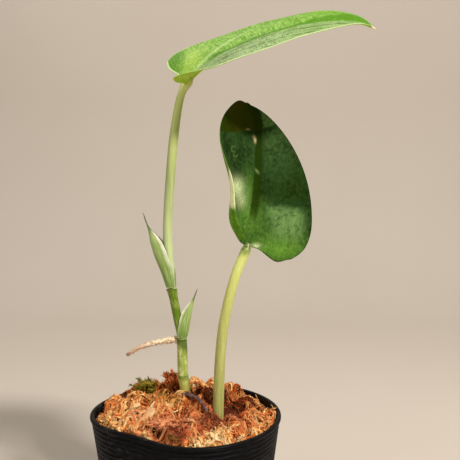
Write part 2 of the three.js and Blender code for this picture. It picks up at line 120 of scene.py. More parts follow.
def hills(x, y, seed=41):
    """Smooth hills on a plane: random heights on a unit lattice, blended between the corners."""

    def corner(i, j):
        """A random height from -0.5 to 0.5: the fraction of a large multiple of a sine, less a half."""
        s = np.sin(i * 127.1 + j * 311.7 + seed) * 43758.5453
        return s - np.floor(s) - 0.5

    i, j = np.floor(x), np.floor(y)
    u, v = smooth(x - i), smooth(y - j)
    near = mix(corner(i, j), corner(i + 1, j), u)
    far = mix(corner(i, j + 1), corner(i + 1, j + 1), u)
    return mix(near, far, v)


def even(fine, count):
    """A polyline resampled to count points at equal lengths."""
    length = np.r_[0, np.cumsum(np.linalg.norm(np.diff(fine, axis=0), axis=1))]
    t = np.linspace(0, length[-1], count)
    return np.stack([np.interp(t, length, fine[:, k]) for k in range(fine.shape[1])], 1)


def spline(points, count):
    """A centripetal Catmull-Rom curve through the points, at equal lengths."""
    p = np.array(points, float)
    p = np.vstack([2 * p[0] - p[1], p, 2 * p[-1] - p[-2]])
    gaps = np.linalg.norm(np.diff(p, axis=0), axis=1) ** 0.5
    t = np.linspace(0, 1, 40)[:, None]
    parts = []
    for i in range(1, len(p) - 2):
        a, b, c = gaps[i - 1 : i + 2]
        leave = b * ((p[i] - p[i - 1]) / a - (p[i + 1] - p[i - 1]) / (a + b) + (p[i + 1] - p[i]) / b)
        reach = b * ((p[i + 1] - p[i]) / b - (p[i + 2] - p[i]) / (b + c) + (p[i + 2] - p[i + 1]) / c)
        hermite = (2 * t**3 - 3 * t**2 + 1) * p[i] + (3 * t**2 - 2 * t**3) * p[i + 1]
        parts.append(hermite + (t**3 - 2 * t**2 + t) * leave + (t**3 - t**2) * reach)
    return even(np.vstack(parts), count)


# Meshes


def mesh_object(name, points, faces, material):
    """A smooth mesh in the scene, from points in metres."""
    data = bpy.data.meshes.new(name)
    data.from_pydata(points.tolist(), [], faces)
    data.polygons.foreach_set("use_smooth", [True] * len(data.polygons))
    data.materials.append(material)
    obj = bpy.data.objects.new(name, data)
    link(obj)
    return obj


def piece(name, points, faces, material, slot, nodes=(), **values):
    """A mesh that rides on the part, from points in millimetres. Values hold a number or vector per point."""
    obj = mesh_object(name, points * MM, faces, material)
    for key, value in values.items():
        value = np.asarray(value, np.float32)
        kind, field = ("FLOAT", "value") if value.ndim == 1 else ("FLOAT_VECTOR", "vector")
        obj.data.attributes.new(key, kind, "POINT").data.foreach_set(field, value.ravel())
    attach(obj, "root")
    if nodes:
        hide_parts(*nodes)


def ring_quads(index):
    """Faces between neighbouring rings, where each row of index holds one ring's point numbers."""
    low, high = index[..., :-1, :], index[..., 1:, :]
    quads = np.stack([low, np.roll(low, -1, -1), np.roll(high, -1, -1), high], -1)
    return quads.reshape(-1, 4).tolist()


def grid_quads(index):
    """Faces between the points of a grid, whose numbers are in index."""
    return np.stack([index[:-1, :-1], index[:-1, 1:], index[1:, 1:], index[1:, :-1]], -1).reshape(-1, 4)


def tubes(paths, radii, sides, flat=1):
    """Closed tubes along paths (n, steps, 3) with radii (n, steps), or (n, steps, sides) for a relief. A ring's
    first direction is carried along its path without twist, and flat thins the other."""
    n, steps, _ = paths.shape
    tangent = unit(np.gradient(paths, axis=1))
    sloping = np.abs(tangent[:, :1, 2:]) < 0.9
    u = np.cross(tangent[:, 0], np.where(sloping, [0.0, 0, 1], [1.0, 0, 0])[:, 0])
    carried = []
    for i in range(steps):
        t = tangent[:, i]
        u = unit(u - (u * t).sum(-1, keepdims=True) * t)
        carried.append(u)
    u = np.stack(carried, 1)[:, :, None]
    v = np.cross(tangent[:, :, None], u)
    turn = around(sides)[:, None]
    out = np.cos(turn) * u + flat * np.sin(turn) * v
    reach = radii if radii.ndim == 3 else radii[:, :, None]
    points = paths[:, :, None] + reach[..., None] * out
    index = np.arange(n * steps * sides).reshape(n, steps, sides)
    caps = index[:, 0, ::-1].tolist() + index[:, -1].tolist()
    return points.reshape(-1, 3), ring_quads(index) + caps


def tube(path, radius, sides):
    """One closed tube."""
    return tubes(path[None], radius[None], sides)


def lumpy_root(points, steps, thick, thin, sides, relief):
    """The path through the points and a tube from thick to thin on it. Its radius is multiplied by 1 plus the
    hills, given as (height, hills along, hills round)."""
    path, share = spline(points, steps), np.linspace(0, 1, steps)[:, None]
    lumps = 1 + sum(deep * hills(share * along, around(sides) * across) for deep, along, across in relief)
    return path, tube(path, mix(thick, thin, share) * lumps, sides)


def join(parts):
    """One body's points and faces from several."""
    points, faces, start = [], [], 0
    for some, those in parts:
        points.append(some)
        faces += [[i + start for i in face] for face in those]
        start += len(some)
    return np.vstack(points), faces


def sheet(outer, inner):
    """The closed body between two like grids of points."""
    rows, columns, _ = outer.shape
    shift = rows * columns
    index = np.arange(shift).reshape(rows, columns)
    top = grid_quads(index)
    rim = np.r_[index[0, :-1], index[:-1, -1], index[-1, :0:-1], index[:0:-1, 0]]
    after = np.roll(rim, -1)
    edge = np.stack([after, rim, rim + shift, after + shift], -1)
    faces = np.vstack([top, top[:, ::-1] + shift, edge])
    return np.vstack([outer.reshape(-1, 3), inner.reshape(-1, 3)]), faces.tolist()


# Materials


def srgb(tone):
    """A colour of 0 to 255 display values as linear light by the display curve, which is straight up to 10."""
    return (*(((v / 255 + 0.055) / 1.055) ** 2.4 if v > 10 else v / 255 / 12.92 for v in tone), 1)


class Paint:
    """A principled material. Colours are display values, and each call adds nodes and gives an output."""

    def __init__(self, name, **values):
        """A new material with its shader inputs set by name."""
        self.material = bpy.data.materials.new(name)
        self.material.use_nodes = True
        self.tree = self.material.node_tree
        self.shader = self.tree.nodes["Principled BSDF"]
        self.set(**values)

    def feed(self, socket, value):
        """Link an output to the socket, or set its value."""
        if isinstance(value, bpy.types.NodeSocket):
            self.tree.links.new(value, socket)
        else:
            socket.default_value = srgb(value) if socket.type == "RGBA" else value

    def set(self, **values):
        """Feed inputs of the shader by name."""
        for key, value in values.items():
            self.feed(self.shader.inputs[key.replace("_", " ")], value)

    def node(self, kind, inputs, output=0, **settings):
        """Add a node of a kind and give one of its outputs."""
        node = self.tree.nodes.new("ShaderNode" + kind)
        for key, value in settings.items():
            setattr(node, key, value)
        for key, value in inputs.items():
            self.feed(node.inputs[key], value)
        return node.outputs[output]

    def place(self):
        """Position in millimetres."""
        where = self.node("TexCoord", {}, "Object")
        return self.node("VectorMath", {0: where, 3: 1 / MM}, operation="SCALE")

    def number(self, name, scale=1):
        """A number stored on the points, times scale."""
        value = self.node("Attribute", {}, "Fac", attribute_name=name)
        return value if scale == 1 else self.times(value, scale)

    def vector(self, name):
        """A vector stored on the points."""
        return self.node("Attribute", {}, "Vector", attribute_name=name)

    def axis(self, vector, name):
        """One part of a vector."""
        return self.node("SeparateXYZ", {0: vector}, name)

    def stretch(self, vector, scales):
        """A vector times a scale on each axis."""
        return self.node("VectorMath", {0: vector, 1: scales}, operation="MULTIPLY")

    def noise(self, vector, scale, detail=2, roughness=0.5, distortion=0):
        """Fractal noise, stretched where scale holds a number for each axis."""
        if isinstance(scale, tuple):
            vector, scale = self.stretch(vector, scale), 1
        inputs = {"Vector": vector, "Scale": scale, "Detail": detail, "Roughness": roughness}
        return self.node("TexNoise", {**inputs, "Distortion": distortion})

    def cells(self, vector, scales):
        """How far the nearest of many scattered places is."""
        return self.node("TexVoronoi", {"Vector": self.stretch(vector, scales), "Scale": 1}, "Distance")

    def math(self, operation, a, b=0):
        """An operation on one number or two."""
        return self.node("Math", {0: a, 1: b}, operation=operation)

    def times(self, value, *factors):
        """The product of all."""
        for factor in factors:
            value = self.math("MULTIPLY", value, factor)
        return value

    def plus(self, value, *more):
        """The sum of all."""
        for other in more:
            value = self.math("ADD", value, other)
        return value

    def minus(self, a, b):
        """a less b."""
        return self.math("SUBTRACT", a, b)

    def away(self, value, middle):
        """How far the value is from the middle."""
        return self.math("ABSOLUTE", self.minus(value, middle))

    def between(self, value, low, high, to_low=0, to_high=1):
        """A smooth step from to_low at low to to_high at high."""
        inputs = {"Value": value, "From Min": low, "From Max": high, "To Min": to_low, "To Max": to_high}
        return self.node("MapRange", inputs, interpolation_type="SMOOTHSTEP")

    def mix(self, share, a, b):
        """From colour a at share 0 to colour b at share 1."""
        return self.node("Mix", {0: share, 6: a, 7: b}, 2, data_type="RGBA")

    def layers(self, colour, *coats):
        """Coats (share, colour) over a colour, one after the other."""
        for share, coat in coats:
            colour = self.mix(share, colour, coat)
        return colour

    def ramp(self, share, *stops):
        """Colours (place, colour) along a share, blended between neighbours."""
        node = self.tree.nodes.new("ShaderNodeValToRGB")
        elements = node.color_ramp.elements
        while len(elements) < len(stops):
            elements.new(0.5)
        for element, (at, tone) in zip(elements, stops):
            element.position = at
            element.color = srgb(tone)
        self.feed(node.inputs[0], share)
        return node.outputs[0]

    def bump(self, height, distance, strength=1):
        """A relief of the height, distance millimetres deep."""
        return self.node("Bump", {"Height": height, "Distance": distance * MM, "Strength": strength})


# Pot

POT = {"height": 78, "rim": 44.2, "base": 34, "wall": 1, "floor": 1.4, "foot": 1.2, "sides": 180}
RINGS = {"lowest": 52, "height": 0.42, "pitch": 2.1}
HOLES = {"count": 8, "circle": 20, "radius": 3.5, "sides": 24}
DENTS = [(8, 236, 22), (-1.9, 176, 24)]  # depth at the rim, middle and width in degrees
LIP_HEIGHT = 1.8
LIP = [  # out from the rim and up from the top
    *[(-0.25, -2.15), (-0.2, -1.9), (0.25, -1.78), (0.52, -1.65), (0.68, -1.35), (0.7, -1), (0.66, -0.55)],
    *[(0.45, -0.2), (0.1, 0), (-0.5, -0.02), (-1.1, -0.1), (-1.42, -0.42), (-1.3, -1.2)],
]


def outer_wall(z):
    """The radius of the straight wall, from the base to the rim."""
    return mix(POT["base"], POT["rim"], z / POT["height"])


def dent(degrees, z):
    """How far the wall is pushed in: a bell round each dent, times the height's share to the power 2.5."""
    push = 0
    for depth, middle, width in DENTS:
        away = (degrees - middle + 540) % 360 - 180
        push = push + depth * np.exp(-0.5 * (away / width) ** 2)
    return push * np.maximum(0, z / POT["height"]) ** 2.5


def wall_reach(degrees, z):
    """The radius of the dented wall."""
    return outer_wall(z) - dent(degrees, z)


def dented(points):
    """The points drawn in by the dents, less and less towards the axis."""
    x, y, z = points.T
    r = np.maximum(np.hypot(x, y), 1e-6)
    push = dent(np.degrees(np.arctan2(y, x)), z) * np.minimum(1, r / POT["base"])
    scale = np.where(r < 1, 1, (r - push) / r)
    return np.stack([x * scale, y * scale, z], 1)


def pot_profile():
    """Outline (r, z) from the foot up the ringed outside, over the rolled lip and down the inside."""
    height, under = POT["height"], POT["height"] - LIP_HEIGHT
    angle = np.array([0, 0.5, 1, 1.57])
    foot = np.c_[outer_wall(0) - POT["foot"] * (1 - np.sin(angle)), POT["foot"] * (1 - np.cos(angle))]
    z = np.r_[np.linspace(3, 50, 12), np.linspace(RINGS["lowest"], under - 0.6, 120)]
    wave = 0.5 + 0.5 * np.cos(2 * np.pi * (z - 0.9) / RINGS["pitch"])
    rings = RINGS["height"] * wave**1.6 * rise(z, RINGS["lowest"], 4) * fall(z, under - 1.2, 0.8)
    outside = np.c_[outer_wall(z) + rings, z]
    lip = np.array(LIP) + [outer_wall(height), height]
    tuck = [(outer_wall(under) - 1.05, under - 0.4), (outer_wall(under) - 1, under - 1.5)]
    z = np.linspace(70, POT["floor"], 24)
    return np.vstack([foot, outside, lip, tuck, np.c_[outer_wall(z) - POT["wall"], z]])


def floor_faces(rim, bores, centres, numbers):
    """Triangles inside the rim and outside the bores, as the given point numbers."""
    loops = [np.arange(POT["sides"]), *(POT["sides"] + np.arange(len(bores)).reshape(HOLES["count"], -1))]
    edges = [(int(a), int(b)) for loop in loops for a, b in zip(loop, np.roll(loop, -1))]
    flat = np.vstack([rim, bores])
    found = delaunay_2d_cdt([Vector(p) for p in flat], edges, [], 0, 1e-6)
    kept = []
    for face in found[2]:
        middle = np.mean([found[0][i] for i in face], axis=0)
        if np.hypot(*(middle - centres).T).min() > HOLES["radius"] * 0.99:
            kept.append([int(numbers[found[3][i][0]]) for i in face])
    return kept


def make_pot(material):
    """A lathe with its drain holes, which are cut by triangulating the floor round them."""
    profile, sides = pot_profile(), POT["sides"]
    upright = np.broadcast_to(profile[:, None, 1:], (len(profile), sides, 1))
    points = np.concatenate([profile[:, None, :1] * circle(sides), upright], 2).reshape(-1, 3)
    index = np.arange(len(points)).reshape(-1, sides)
    faces = ring_quads(index)
    centres = HOLES["circle"] * circle(HOLES["count"], math.pi / HOLES["count"])
    bores = (centres[:, None] + HOLES["radius"] * circle(HOLES["sides"])).reshape(-1, 2)
    lower = len(points) + np.arange(len(bores))
    upper = lower + len(bores)
    for edge, numbers, step in ((index[0], lower, -1), (index[-1], upper, 1)):
        found = floor_faces(points[edge, :2], bores, centres, np.r_[edge, numbers])
        faces += [face[::step] for face in found]
    faces += ring_quads(np.stack([upper, lower]).reshape(2, HOLES["count"], -1).swapaxes(0, 1))
    levels = [np.c_[bores, np.full(len(bores), z)] for z in (0, POT["floor"])]
    piece("pot_shell", dented(np.vstack([points, *levels])), faces, material, "pot", ["pot"])


def pot_paint():
    """Black soft plastic: faint flow lines round it, scuffs, and grey dust that lies thicker at the left."""
    p = Paint("pot_plastic", Specular_IOR_Level=0.07)
    where = p.place()
    fine = p.noise(where, 2.2, 4, 0.7)
    flow = p.noise(where, (0.05, 0.05, 3), 3, 0.6)
    scuffs = p.between(p.noise(where, (0.16, 0.16, 0.5), 6, 0.65, 0.6), 0.48, 0.72)
    dust = p.times(scuffs, p.between(fine, 0.35, 0.7), p.between(p.axis(where, "X"), -42, -8, 1, 0.25))
    base = p.mix(p.noise(where, 0.3), (5, 5, 6), (12, 12, 14))
    p.set(Base_Color=p.mix(p.times(dust, 0.5), base, (112, 110, 112)))
    p.set(Roughness=p.plus(p.between(flow, 0.3, 0.7, 0.38, 0.55), p.times(dust, 0.25)))
    p.set(Normal=p.bump(p.plus(flow, p.times(fine, 0.4)), 0.18, 0.6))
    return p.material


make_pot(pot_paint())

# Stems and petioles

STEM_PATH = [
    *[(-0.5, 4.5, 61.5), (-0.9, 5, 84), (-2.2, 4, 94.9)],
    *[(-2.9, 4, 112.6), (-5.2, 4, 125), (-7.5, 4, 137.2)],
]
RUNNER_PATH = [
    *[(-4, 7, 61), (-0.6, 4.5, 62), (6.5, -2, 59)],
    *[(12.8, -7.6, 60), (14.9, -9, 63.5), (15, -9, 67.8)],
]
ROOT_PATHS = [
    [(-2, 6, 60), (-14, 10, 50), (-20, 4, 34)],
    [(5, -1, 59), (4, -14, 48), (10, -20, 30)],
    [(10, -5, 59), (20, 2, 46), (18, 12, 26)],
]
# Under each ring a dark patch: partly the stem's darker green, partly painted shade, longer on the right side.
NODE_PATCHES = [
    {"ring": 94.9, "left": 1.8, "right": 2.6, "tone": (100, 128, 34), "part": 0.55, "rim": 0},
    {"ring": 112.6, "left": 1.8, "right": 8.0, "tone": (58, 84, 12), "part": 0.8, "rim": 0.4},
    {"ring": 136.9, "left": 0.8, "right": 1.6, "tone": (98, 124, 40), "part": 0.8, "rim": 0.5},
]


def upper_radius(z):
    """Slim at the foot, thicker half way, and widened into the leaf with a rounded end."""
    middle = mix(mix(1.7, 2.25, rise(z, 139, 9)), 1.9, rise(z, 205, 22))
    return middle + 0.5 * rise(z, 231, 3) - 1.1 * rise(z, 235.2, 2)


def right_radius(z):
    """Thinner and thinner upwards, and drawn in under the leaf."""
    return mix(2.6, 2.3, rise(z, 75, 75)) * mix(1, 0.7, rise(z, 156, 3.2))


PETIOLES = {
    "upper_petiole": {
        "path": [
            *[(-7.6, 4, 137.7), (-8.9, 4, 152), (-9.3, 4, 165), (-8, 4, 187.6)],
            *[(-5.4, 4, 214), (-2.6, 4, 228.5), (-0.5, 4, 233.2), (1, 4.3, 235.4), (2.4, 4.6, 237)],
        ],
        "steps": 280,
        "radius": upper_radius,
        "tones": [  # height and colour
            # The lighter colours from 226 mm up, where the stalk runs under the leaf, are painted light against
            # the leaf's shadow.
            *[(140, (190, 208, 158)), (190, (154, 166, 108)), (226, (192, 204, 120))],
            *[(232, (204, 206, 126)), (236, (184, 194, 84))],
        ],
    },
    "right_petiole": {
        "path": [
            *[(15, -9, 68.4), (15.1, -9, 86.9), (17.4, -9, 121), (22.9, -8, 144.6)],
            *[(27, -5.9, 154.6), (28.1, -4.9, 157), (29, -3.9, 159.2)],
        ],
        "steps": 240,
        "radius": right_radius,
        "tones": [
            *[(78, (152, 150, 80)), (115, (164, 166, 90)), (150, (196, 202, 112))],
            # The dark greens from 155.6 mm up, where the stalk runs in under the leaf, are painted shade.
            *[(153.4, (190, 198, 106)), (155.6, (118, 132, 54)), (158.2, (66, 90, 24))],
        ],
    },
}
TONE_HEIGHT = 250  # the height at the end of the petioles' colour ramps


def stem_radius(z):
    """Thick up to the middle ring and thinner above it, with a band at each ring and slow unevenness."""
    low, middle, high = (patch["ring"] for patch in NODE_PATCHES)
    body = mix(2.5, 2.05, rise(z, middle, 2)) + 0.4 * rise(z, 132, 5)
    bands = [0.2 * bell((z - ring) / 0.6) - 0.06 * bell((z - ring - 1.2) / 0.7) for ring in (middle, high)]
    return body + sum(bands) + 0.07 * bell((z - low) / 0.8) + 0.14 * hills(z / 4.3, 0.5)


def stem_paint():
    """Living green, paler below. A node ring is a dark line with a pale rim, over a dark slanting patch that is
    partly the stem's darker green and partly painted shade, reaching further down on the right side.
    """
    p = Paint("stem_skin", Roughness=0.36, Subsurface_Weight=0.1, Subsurface_Scale=0.002)
    p.set(Subsurface_Radius=(0.6, 1.0, 0.2), Specular_IOR_Level=0.25)
    where = p.place()
    height, across = p.axis(where, "Z"), p.axis(where, "X")
    streak = p.noise(where, (1.6, 1.6, 0.1), 4, 0.6)
    low = p.mix(streak, (128, 153, 56), (168, 182, 94))
    high = p.mix(streak, (80, 110, 8), (104, 130, 20))
    cream = p.between(p.noise(where, (0.5, 0.5, 0.25), 4, 0.65), 0.47, 0.6, 0, 0.8)
    colour = p.layers(
        p.mix(p.between(height, 111, 114), low, high),
        (p.times(cream, p.between(height, 108, 113, 1, 0.25)), (208, 210, 140)),
        (p.between(height, 90, 94.9, 0.7, 0), (190, 186, 98)),
    )
    for patch in NODE_PATCHES:
        under = p.minus(patch["ring"], height)
        depth = p.between(across, -6.5, 0.5, patch["left"], patch["right"])
        fade = p.between(p.math("DIVIDE", under, depth), 0.45, 1.2, 1, 0)
        colour = p.layers(
            colour,
            # The dark patch under the ring, partly painted shade.
            (p.times(p.between(under, -0.2, 0.1), fade, patch["part"]), patch["tone"]),
            (p.between(p.away(under, 0.1), 0.12, 0.35, 0.3 + 0.6 * patch["rim"], 0), (66, 84, 20)),
            (p.between(p.away(under, -0.75), 0.2, 0.5, patch["rim"], 0), (206, 214, 158)),
        )
    p.set(Base_Color=colour)
    p.set(Normal=p.bump(p.noise(where, (2.4, 2.4, 0.25), 4, 0.6), 0.12, 0.5))
    return p.material


def make_stem(material):
    """The stem, the buried runner and the roots as closed tubes in one piece."""
    path = spline(STEM_PATH, 320)
    bodies = [tube(path, stem_radius(path[:, 2]), 40)]
    bodies.append(tube(spline(RUNNER_PATH, 60), np.linspace(2.2, 2.6, 60), 24))
    bodies += [tube(spline(points, 40), np.linspace(1.3, 0.6, 40), 12) for points in ROOT_PATHS]
    piece("stem_skin", *join(bodies), material, "stem", ["stem"])


def petiole_paint(name, tones):
    """Pale yellow-green, streaked along its length, with long pale flecks up to a height of 157 mm."""
    p = Paint(name, Roughness=0.34, Subsurface_Weight=0.12, Subsurface_Scale=0.002)
    p.set(Subsurface_Radius=(0.8, 1.0, 0.25), Specular_IOR_Level=0.28)
    where = p.place()
    height = p.axis(where, "Z")
    streak = p.noise(where, (1.3, 1.3, 0.05), 4, 0.65)
    fleck = p.between(p.cells(where, (1.5, 1.5, 0.28)), 0.08, 0.2, 0.5, 0)
    colour = p.layers(
        p.ramp(p.math("DIVIDE", height, TONE_HEIGHT), *[(at / TONE_HEIGHT, tone) for at, tone in tones]),
        (p.between(streak, 0.38, 0.68, 0, 0.4), (212, 216, 146)),
        (p.times(fleck, p.between(height, 154, 157, 1, 0)), (232, 230, 176)),
    )
    p.set(Base_Color=colour)
    p.set(Normal=p.bump(p.noise(where, (2.2, 2.2, 0.12), 4, 0.6), 0.1, 0.5))
    return p.material


def make_petiole(name, shape):
    """A round stalk that runs into a leaf's base."""
    path = spline(shape["path"], shape["steps"])
    skin = name + "_skin"
    body = tube(path, shape["radius"](path[:, 2]), 40)
    piece(skin, *body, petiole_paint(skin, shape["tones"]), "petiole", [name])


make_stem(stem_paint())
for name, shape in PETIOLES.items():
    make_petiole(name, shape)

# Sheaths

SHEATHS = {
    "lower_sheath": {
        "centre": [
            *[(-2.9, 4, 113.7), (-1.9, 4, 118.6), (-0.8, 4, 123.2)],
            *[(0.9, 3.9, 127.8), (3.1, 3.8, 132.4), (4.8, 3.6, 137)],
        ],
        "deep": [2.9, 3, 2.9, 2.8, 2.6, 2.3, 1.8, 1.1, 0.45, 0.35, 0.2],
        "wide": [3, 3.3, 3.2, 3, 2.7, 2.4, 1.9, 1.2, 0.45, 0.35, 0.2],
        "arm": [1.6, 1.7, 1.8, 2, 2.2, 2.2, 1.7, 1, 0.4, 0.2, 0.1],
        "back": -12,
    },
    "upper_sheath": {
        "centre": [
            *[(-7.6, 4, 137.6), (-9.5, 4, 145.4), (-12, 4, 152.4)],
            *[(-14.8, 4, 159.5), (-18.4, 4, 166.5), (-20.9, 4, 173.5)],
        ],
        "deep": [2.45, 2.9, 3.2, 3.5, 3.6, 3.4, 2.9, 1.6, 0.5, 0.35, 0.2],
        "wide": [2.5, 2.9, 3.1, 3.2, 3.2, 2.9, 2.3, 1.4, 0.45, 0.35, 0.2],
        "arm": [2, 2.7, 3.3, 3.5, 3.5, 3.5, 3.2, 2.2, 0.5, 0.2, 0.1],
        "back": 176,
    },
}
SHEATH_ROWS, SHEATH_COLUMNS = 110, 48


def profile(values, count):
    """A smooth run of numbers through the values, which stand at equal steps."""
    last = 10.0 * (len(values) - 1)
    fine = spline(np.c_[np.linspace(0, last, len(values)), values], 2000)
    return np.interp(np.linspace(0, last, count), fine[:, 0], fine[:, 1])


def make_sheath(name, shape, material):
    """A folded scale leaf round a stem: each section is a half ring with two arms and thin ragged margins."""
    turn = math.radians(shape["back"])
    backward = np.array([math.cos(turn), math.sin(turn), 0])
    sideways = np.array([-math.sin(turn), math.cos(turn), 0])
    middle = spline(shape["centre"], SHEATH_ROWS)
    deep, wide, arm = (profile(shape[key], SHEATH_ROWS)[:, None] for key in ("deep", "wide", "arm"))
    v = np.linspace(-1, 1, SHEATH_COLUMNS)
    t = np.linspace(0, 1, SHEATH_ROWS)[:, None]
    away = np.abs(v)
    angle = np.clip(v * 2, -1, 1) * math.pi / 2
    beyond = np.maximum(0, away * 2 - 1) * arm
    ripple = 0.12 * np.sin(t * 40 + np.sign(v) * 2) * rise(away, 0.6, 0.4) * rise(t, 0, 0.2)
    veins = 0.05 * np.cos(v * math.pi * 15)
    thin = mix(0.5, 0.12, rise(away, 0.45, 0.5)) * mix(1, 0.6, t)

    def section(shrink):
        """The grid of points that lies shrink inside the outer face."""
        a = (deep - shrink + veins) * np.cos(angle) - beyond
        b = (wide - shrink + veins) * np.sin(angle) + ripple
        return middle[:, None] + a[..., None] * backward + b[..., None] * sideways

    along, across = (part.ravel() for part in np.broadcast_arrays(t, v))
    grain = np.tile(np.stack([along, across, np.zeros_like(along)], 1), (2, 1))
    piece(name + "_blade", *sheet(section(0), section(thin)), material, "sheath", [name], grain=grain)


def sheath_paint():
    """Pale green with parallel veins, a thin papery margin and a dry green-brown point."""
    p = Paint("sheath_skin", Roughness=0.45, Subsurface_Weight=0.15, Subsurface_Scale=0.002)
    p.set(Subsurface_Radius=(0.8, 1.0, 0.4), Specular_IOR_Level=0.2)
    grain = p.vector("grain")
    along, away = p.axis(grain, "X"), p.away(p.axis(grain, "Y"), 0)
    lines = p.noise(grain, (2.5, 16, 1), 4, 0.6)
    dark = p.noise(grain, (3, 11, 5), 3, 0.6)
    ragged_edge = p.plus(away, p.times(p.noise(grain, (18, 6, 1), 3), 0.25))
    length = p.times(p.between(along, 0.72, 0.8, 1, 0), p.between(along, 0.12, 0.5, 0.1, 1))
    stops = [(0, (186, 196, 134)), (0.02, (104, 138, 52)), (0.3, (136, 160, 80))]
    stops += [(0.68, (154, 172, 106)), (0.8, (84, 104, 44))]
    colour = p.layers(
        p.ramp(along, *stops),
        (p.between(lines, 0.45, 0.68, 0, 0.6), (204, 216, 166)),
        (p.between(dark, 0.35, 0.55, 0.35, 0), (84, 120, 36)),
        (p.times(p.between(ragged_edge, 0.8, 1.02, 0, 0.95), length), (226, 226, 200)),
        (p.between(along, 0.93, 0.99, 0, 0.7), (176, 178, 110)),
    )
    p.set(Base_Color=colour, Normal=p.bump(lines, 0.15, 0.6))
    return p.material


skin = sheath_paint()
for name, shape in SHEATHS.items():
    make_sheath(name, shape, skin)

# Leaf blades

# Folds, curls and rolls are the three numbers of a Bezier blend from base to tip, in degrees. The foot is where
# the petiole draws the underside down to, from as far round as flare. Reach is the share of the midrib that the
# blade covers. Shifts say how far the left half moves left, where along the midrib, and over what share of it.
UPPER_LEAF = dict(
    midrib=[(-0.2, 4, 234.6), (11.5, 9.6, 252.8), (56.5, -2.4, 268.3), (89, -0.7, 259.9)],
    axis=(0.96, 0, 0.28),
    facing=(0, -0.513, 0.862),
    roll=[-3.3, 0.9, -3.9],
    hook=3,
    groove=0.3,
    valley=0.15,
    foot=(-0.9, 4, 232.8),
    flare=9,
    reach=0.982,
    shifts=[],
    left=dict(width=24.4, widest=0.04, start=0.09, full=2, taper=0.7, lobe=6.6, lobe_end=1.65, tuck=0),
    left_bend=dict(fold=[9.6, -6.8, 21.5], curl=[-6.8, -29, -14]),
    right=dict(width=27.4, widest=0.15, start=0.16, full=2, taper=0.68, lobe=4.4, lobe_end=1.3, tuck=0),
    right_bend=dict(fold=[28, -3.7, 21], curl=[11.5, -27, -4.6]),
)
RIGHT_LEAF = dict(
    midrib=[(29.4, -4, 158.8), (33, 2, 175.5), (40, 26, 222.6), (29.2, 39, 229.8)],
    axis=(0.08, 0.12, 0.99),
    facing=(0, -1, 0),
    roll=[-10, 0.5, -14],
    hook=0,
    groove=0,
    valley=0.7,
    foot=(28.9, -3.9, 157.6),
    flare=5,
    reach=1,
    shifts=[(1.8, 0.1, 0.07), (-1.3, 0.235, 0.08)],
    left=dict(width=33.5, widest=0.41, start=0.03, full=2, taper=0.75, lobe=-2.5, lobe_end=2, tuck=0),
    left_bend=dict(fold=[-4, 46, 12], curl=[148, -32, 95]),
    right=dict(width=27.5, widest=0.15, start=0.04, full=2.6, taper=1.3, lobe=7.4, lobe_end=1.3, tuck=0.3),
    right_bend=dict(fold=[-3, 2.5, 11], curl=[5, 14.5, 30]),
)
BLADE = {"rows": 230, "columns": 125, "vein_gap": 4.1, "vein_sweep": 0.34, "rounds": 70}
RIGHT_SPOTS = {  # x, z, width, height and strength
    # Painted light and shade on the right leaf: the lit spots are painted highlights, the band is painted shade,
    # the row after it is painted sunlight on the green and the last row is a painted sheen. The marks are the
    # leaf's own.
    "lit": [(23.6, 185.6, 3.2, 4.4, 1), (25.8, 179, 2.4, 3.4, 0.6), (32.6, 158.4, 2, 1.1, 1)],
    "band": [(54, 186, 6, 9, 0.55), (42, 185, 7, 5, 0.4)],
    "painted_sunlight": [(44, 157, 14, 7, 1), (29, 185, 3, 8, 0.5), (30, 171, 8, 8, 0.75)],
    "mark": [(29.4, 214.3, 1, 0.5, 0.5), (33, 209, 0.6, 1.4, 1), (32.2, 210.5, 0.6, 1, 0.3)],
    "painted_haze": [(43, 208, 9, 12, 0.16)],
}


def bezier(points, s):
    """Points and unit tangents at the shares s of a cubic Bezier's length, and that length."""
    p = np.array(points, float)
    t = np.linspace(0, 1, 2001)[:, None]

    def at(t):
        """The curve itself, by its parameter t."""
        return (1 - t) ** 3 * p[0] + 3 * t * (1 - t) ** 2 * p[1] + 3 * t**2 * (1 - t) * p[2] + t**3 * p[3]

    length = np.r_[0, np.cumsum(np.linalg.norm(np.diff(at(t), axis=0), axis=1))]
    t = np.interp(s * length[-1], length, t[:, 0])[:, None]
    slope = (1 - t) ** 2 * (p[1] - p[0]) + 2 * t * (1 - t) * (p[2] - p[1]) + t**2 * (p[3] - p[2])
    return at(t), unit(slope), length[-1]


def half_width(s, half):
    """An ellipse out to the widest place, squarer where full is over 2, then a rounded taper to a tail."""
    widest, tail, full = half["widest"], 0.035, half["full"]
    before = np.clip((widest - s) / (widest + half["start"]), 0, 1)
    ellipse = half["width"] * (1 - before**full) ** (1 / full)
    q = np.clip((s - widest) / (1 - tail - widest), 0, 1)
    return np.where(s < widest, ellipse, half["width"] * (1 - q * q) ** half["taper"] + 0.6 * (1.3 - s))


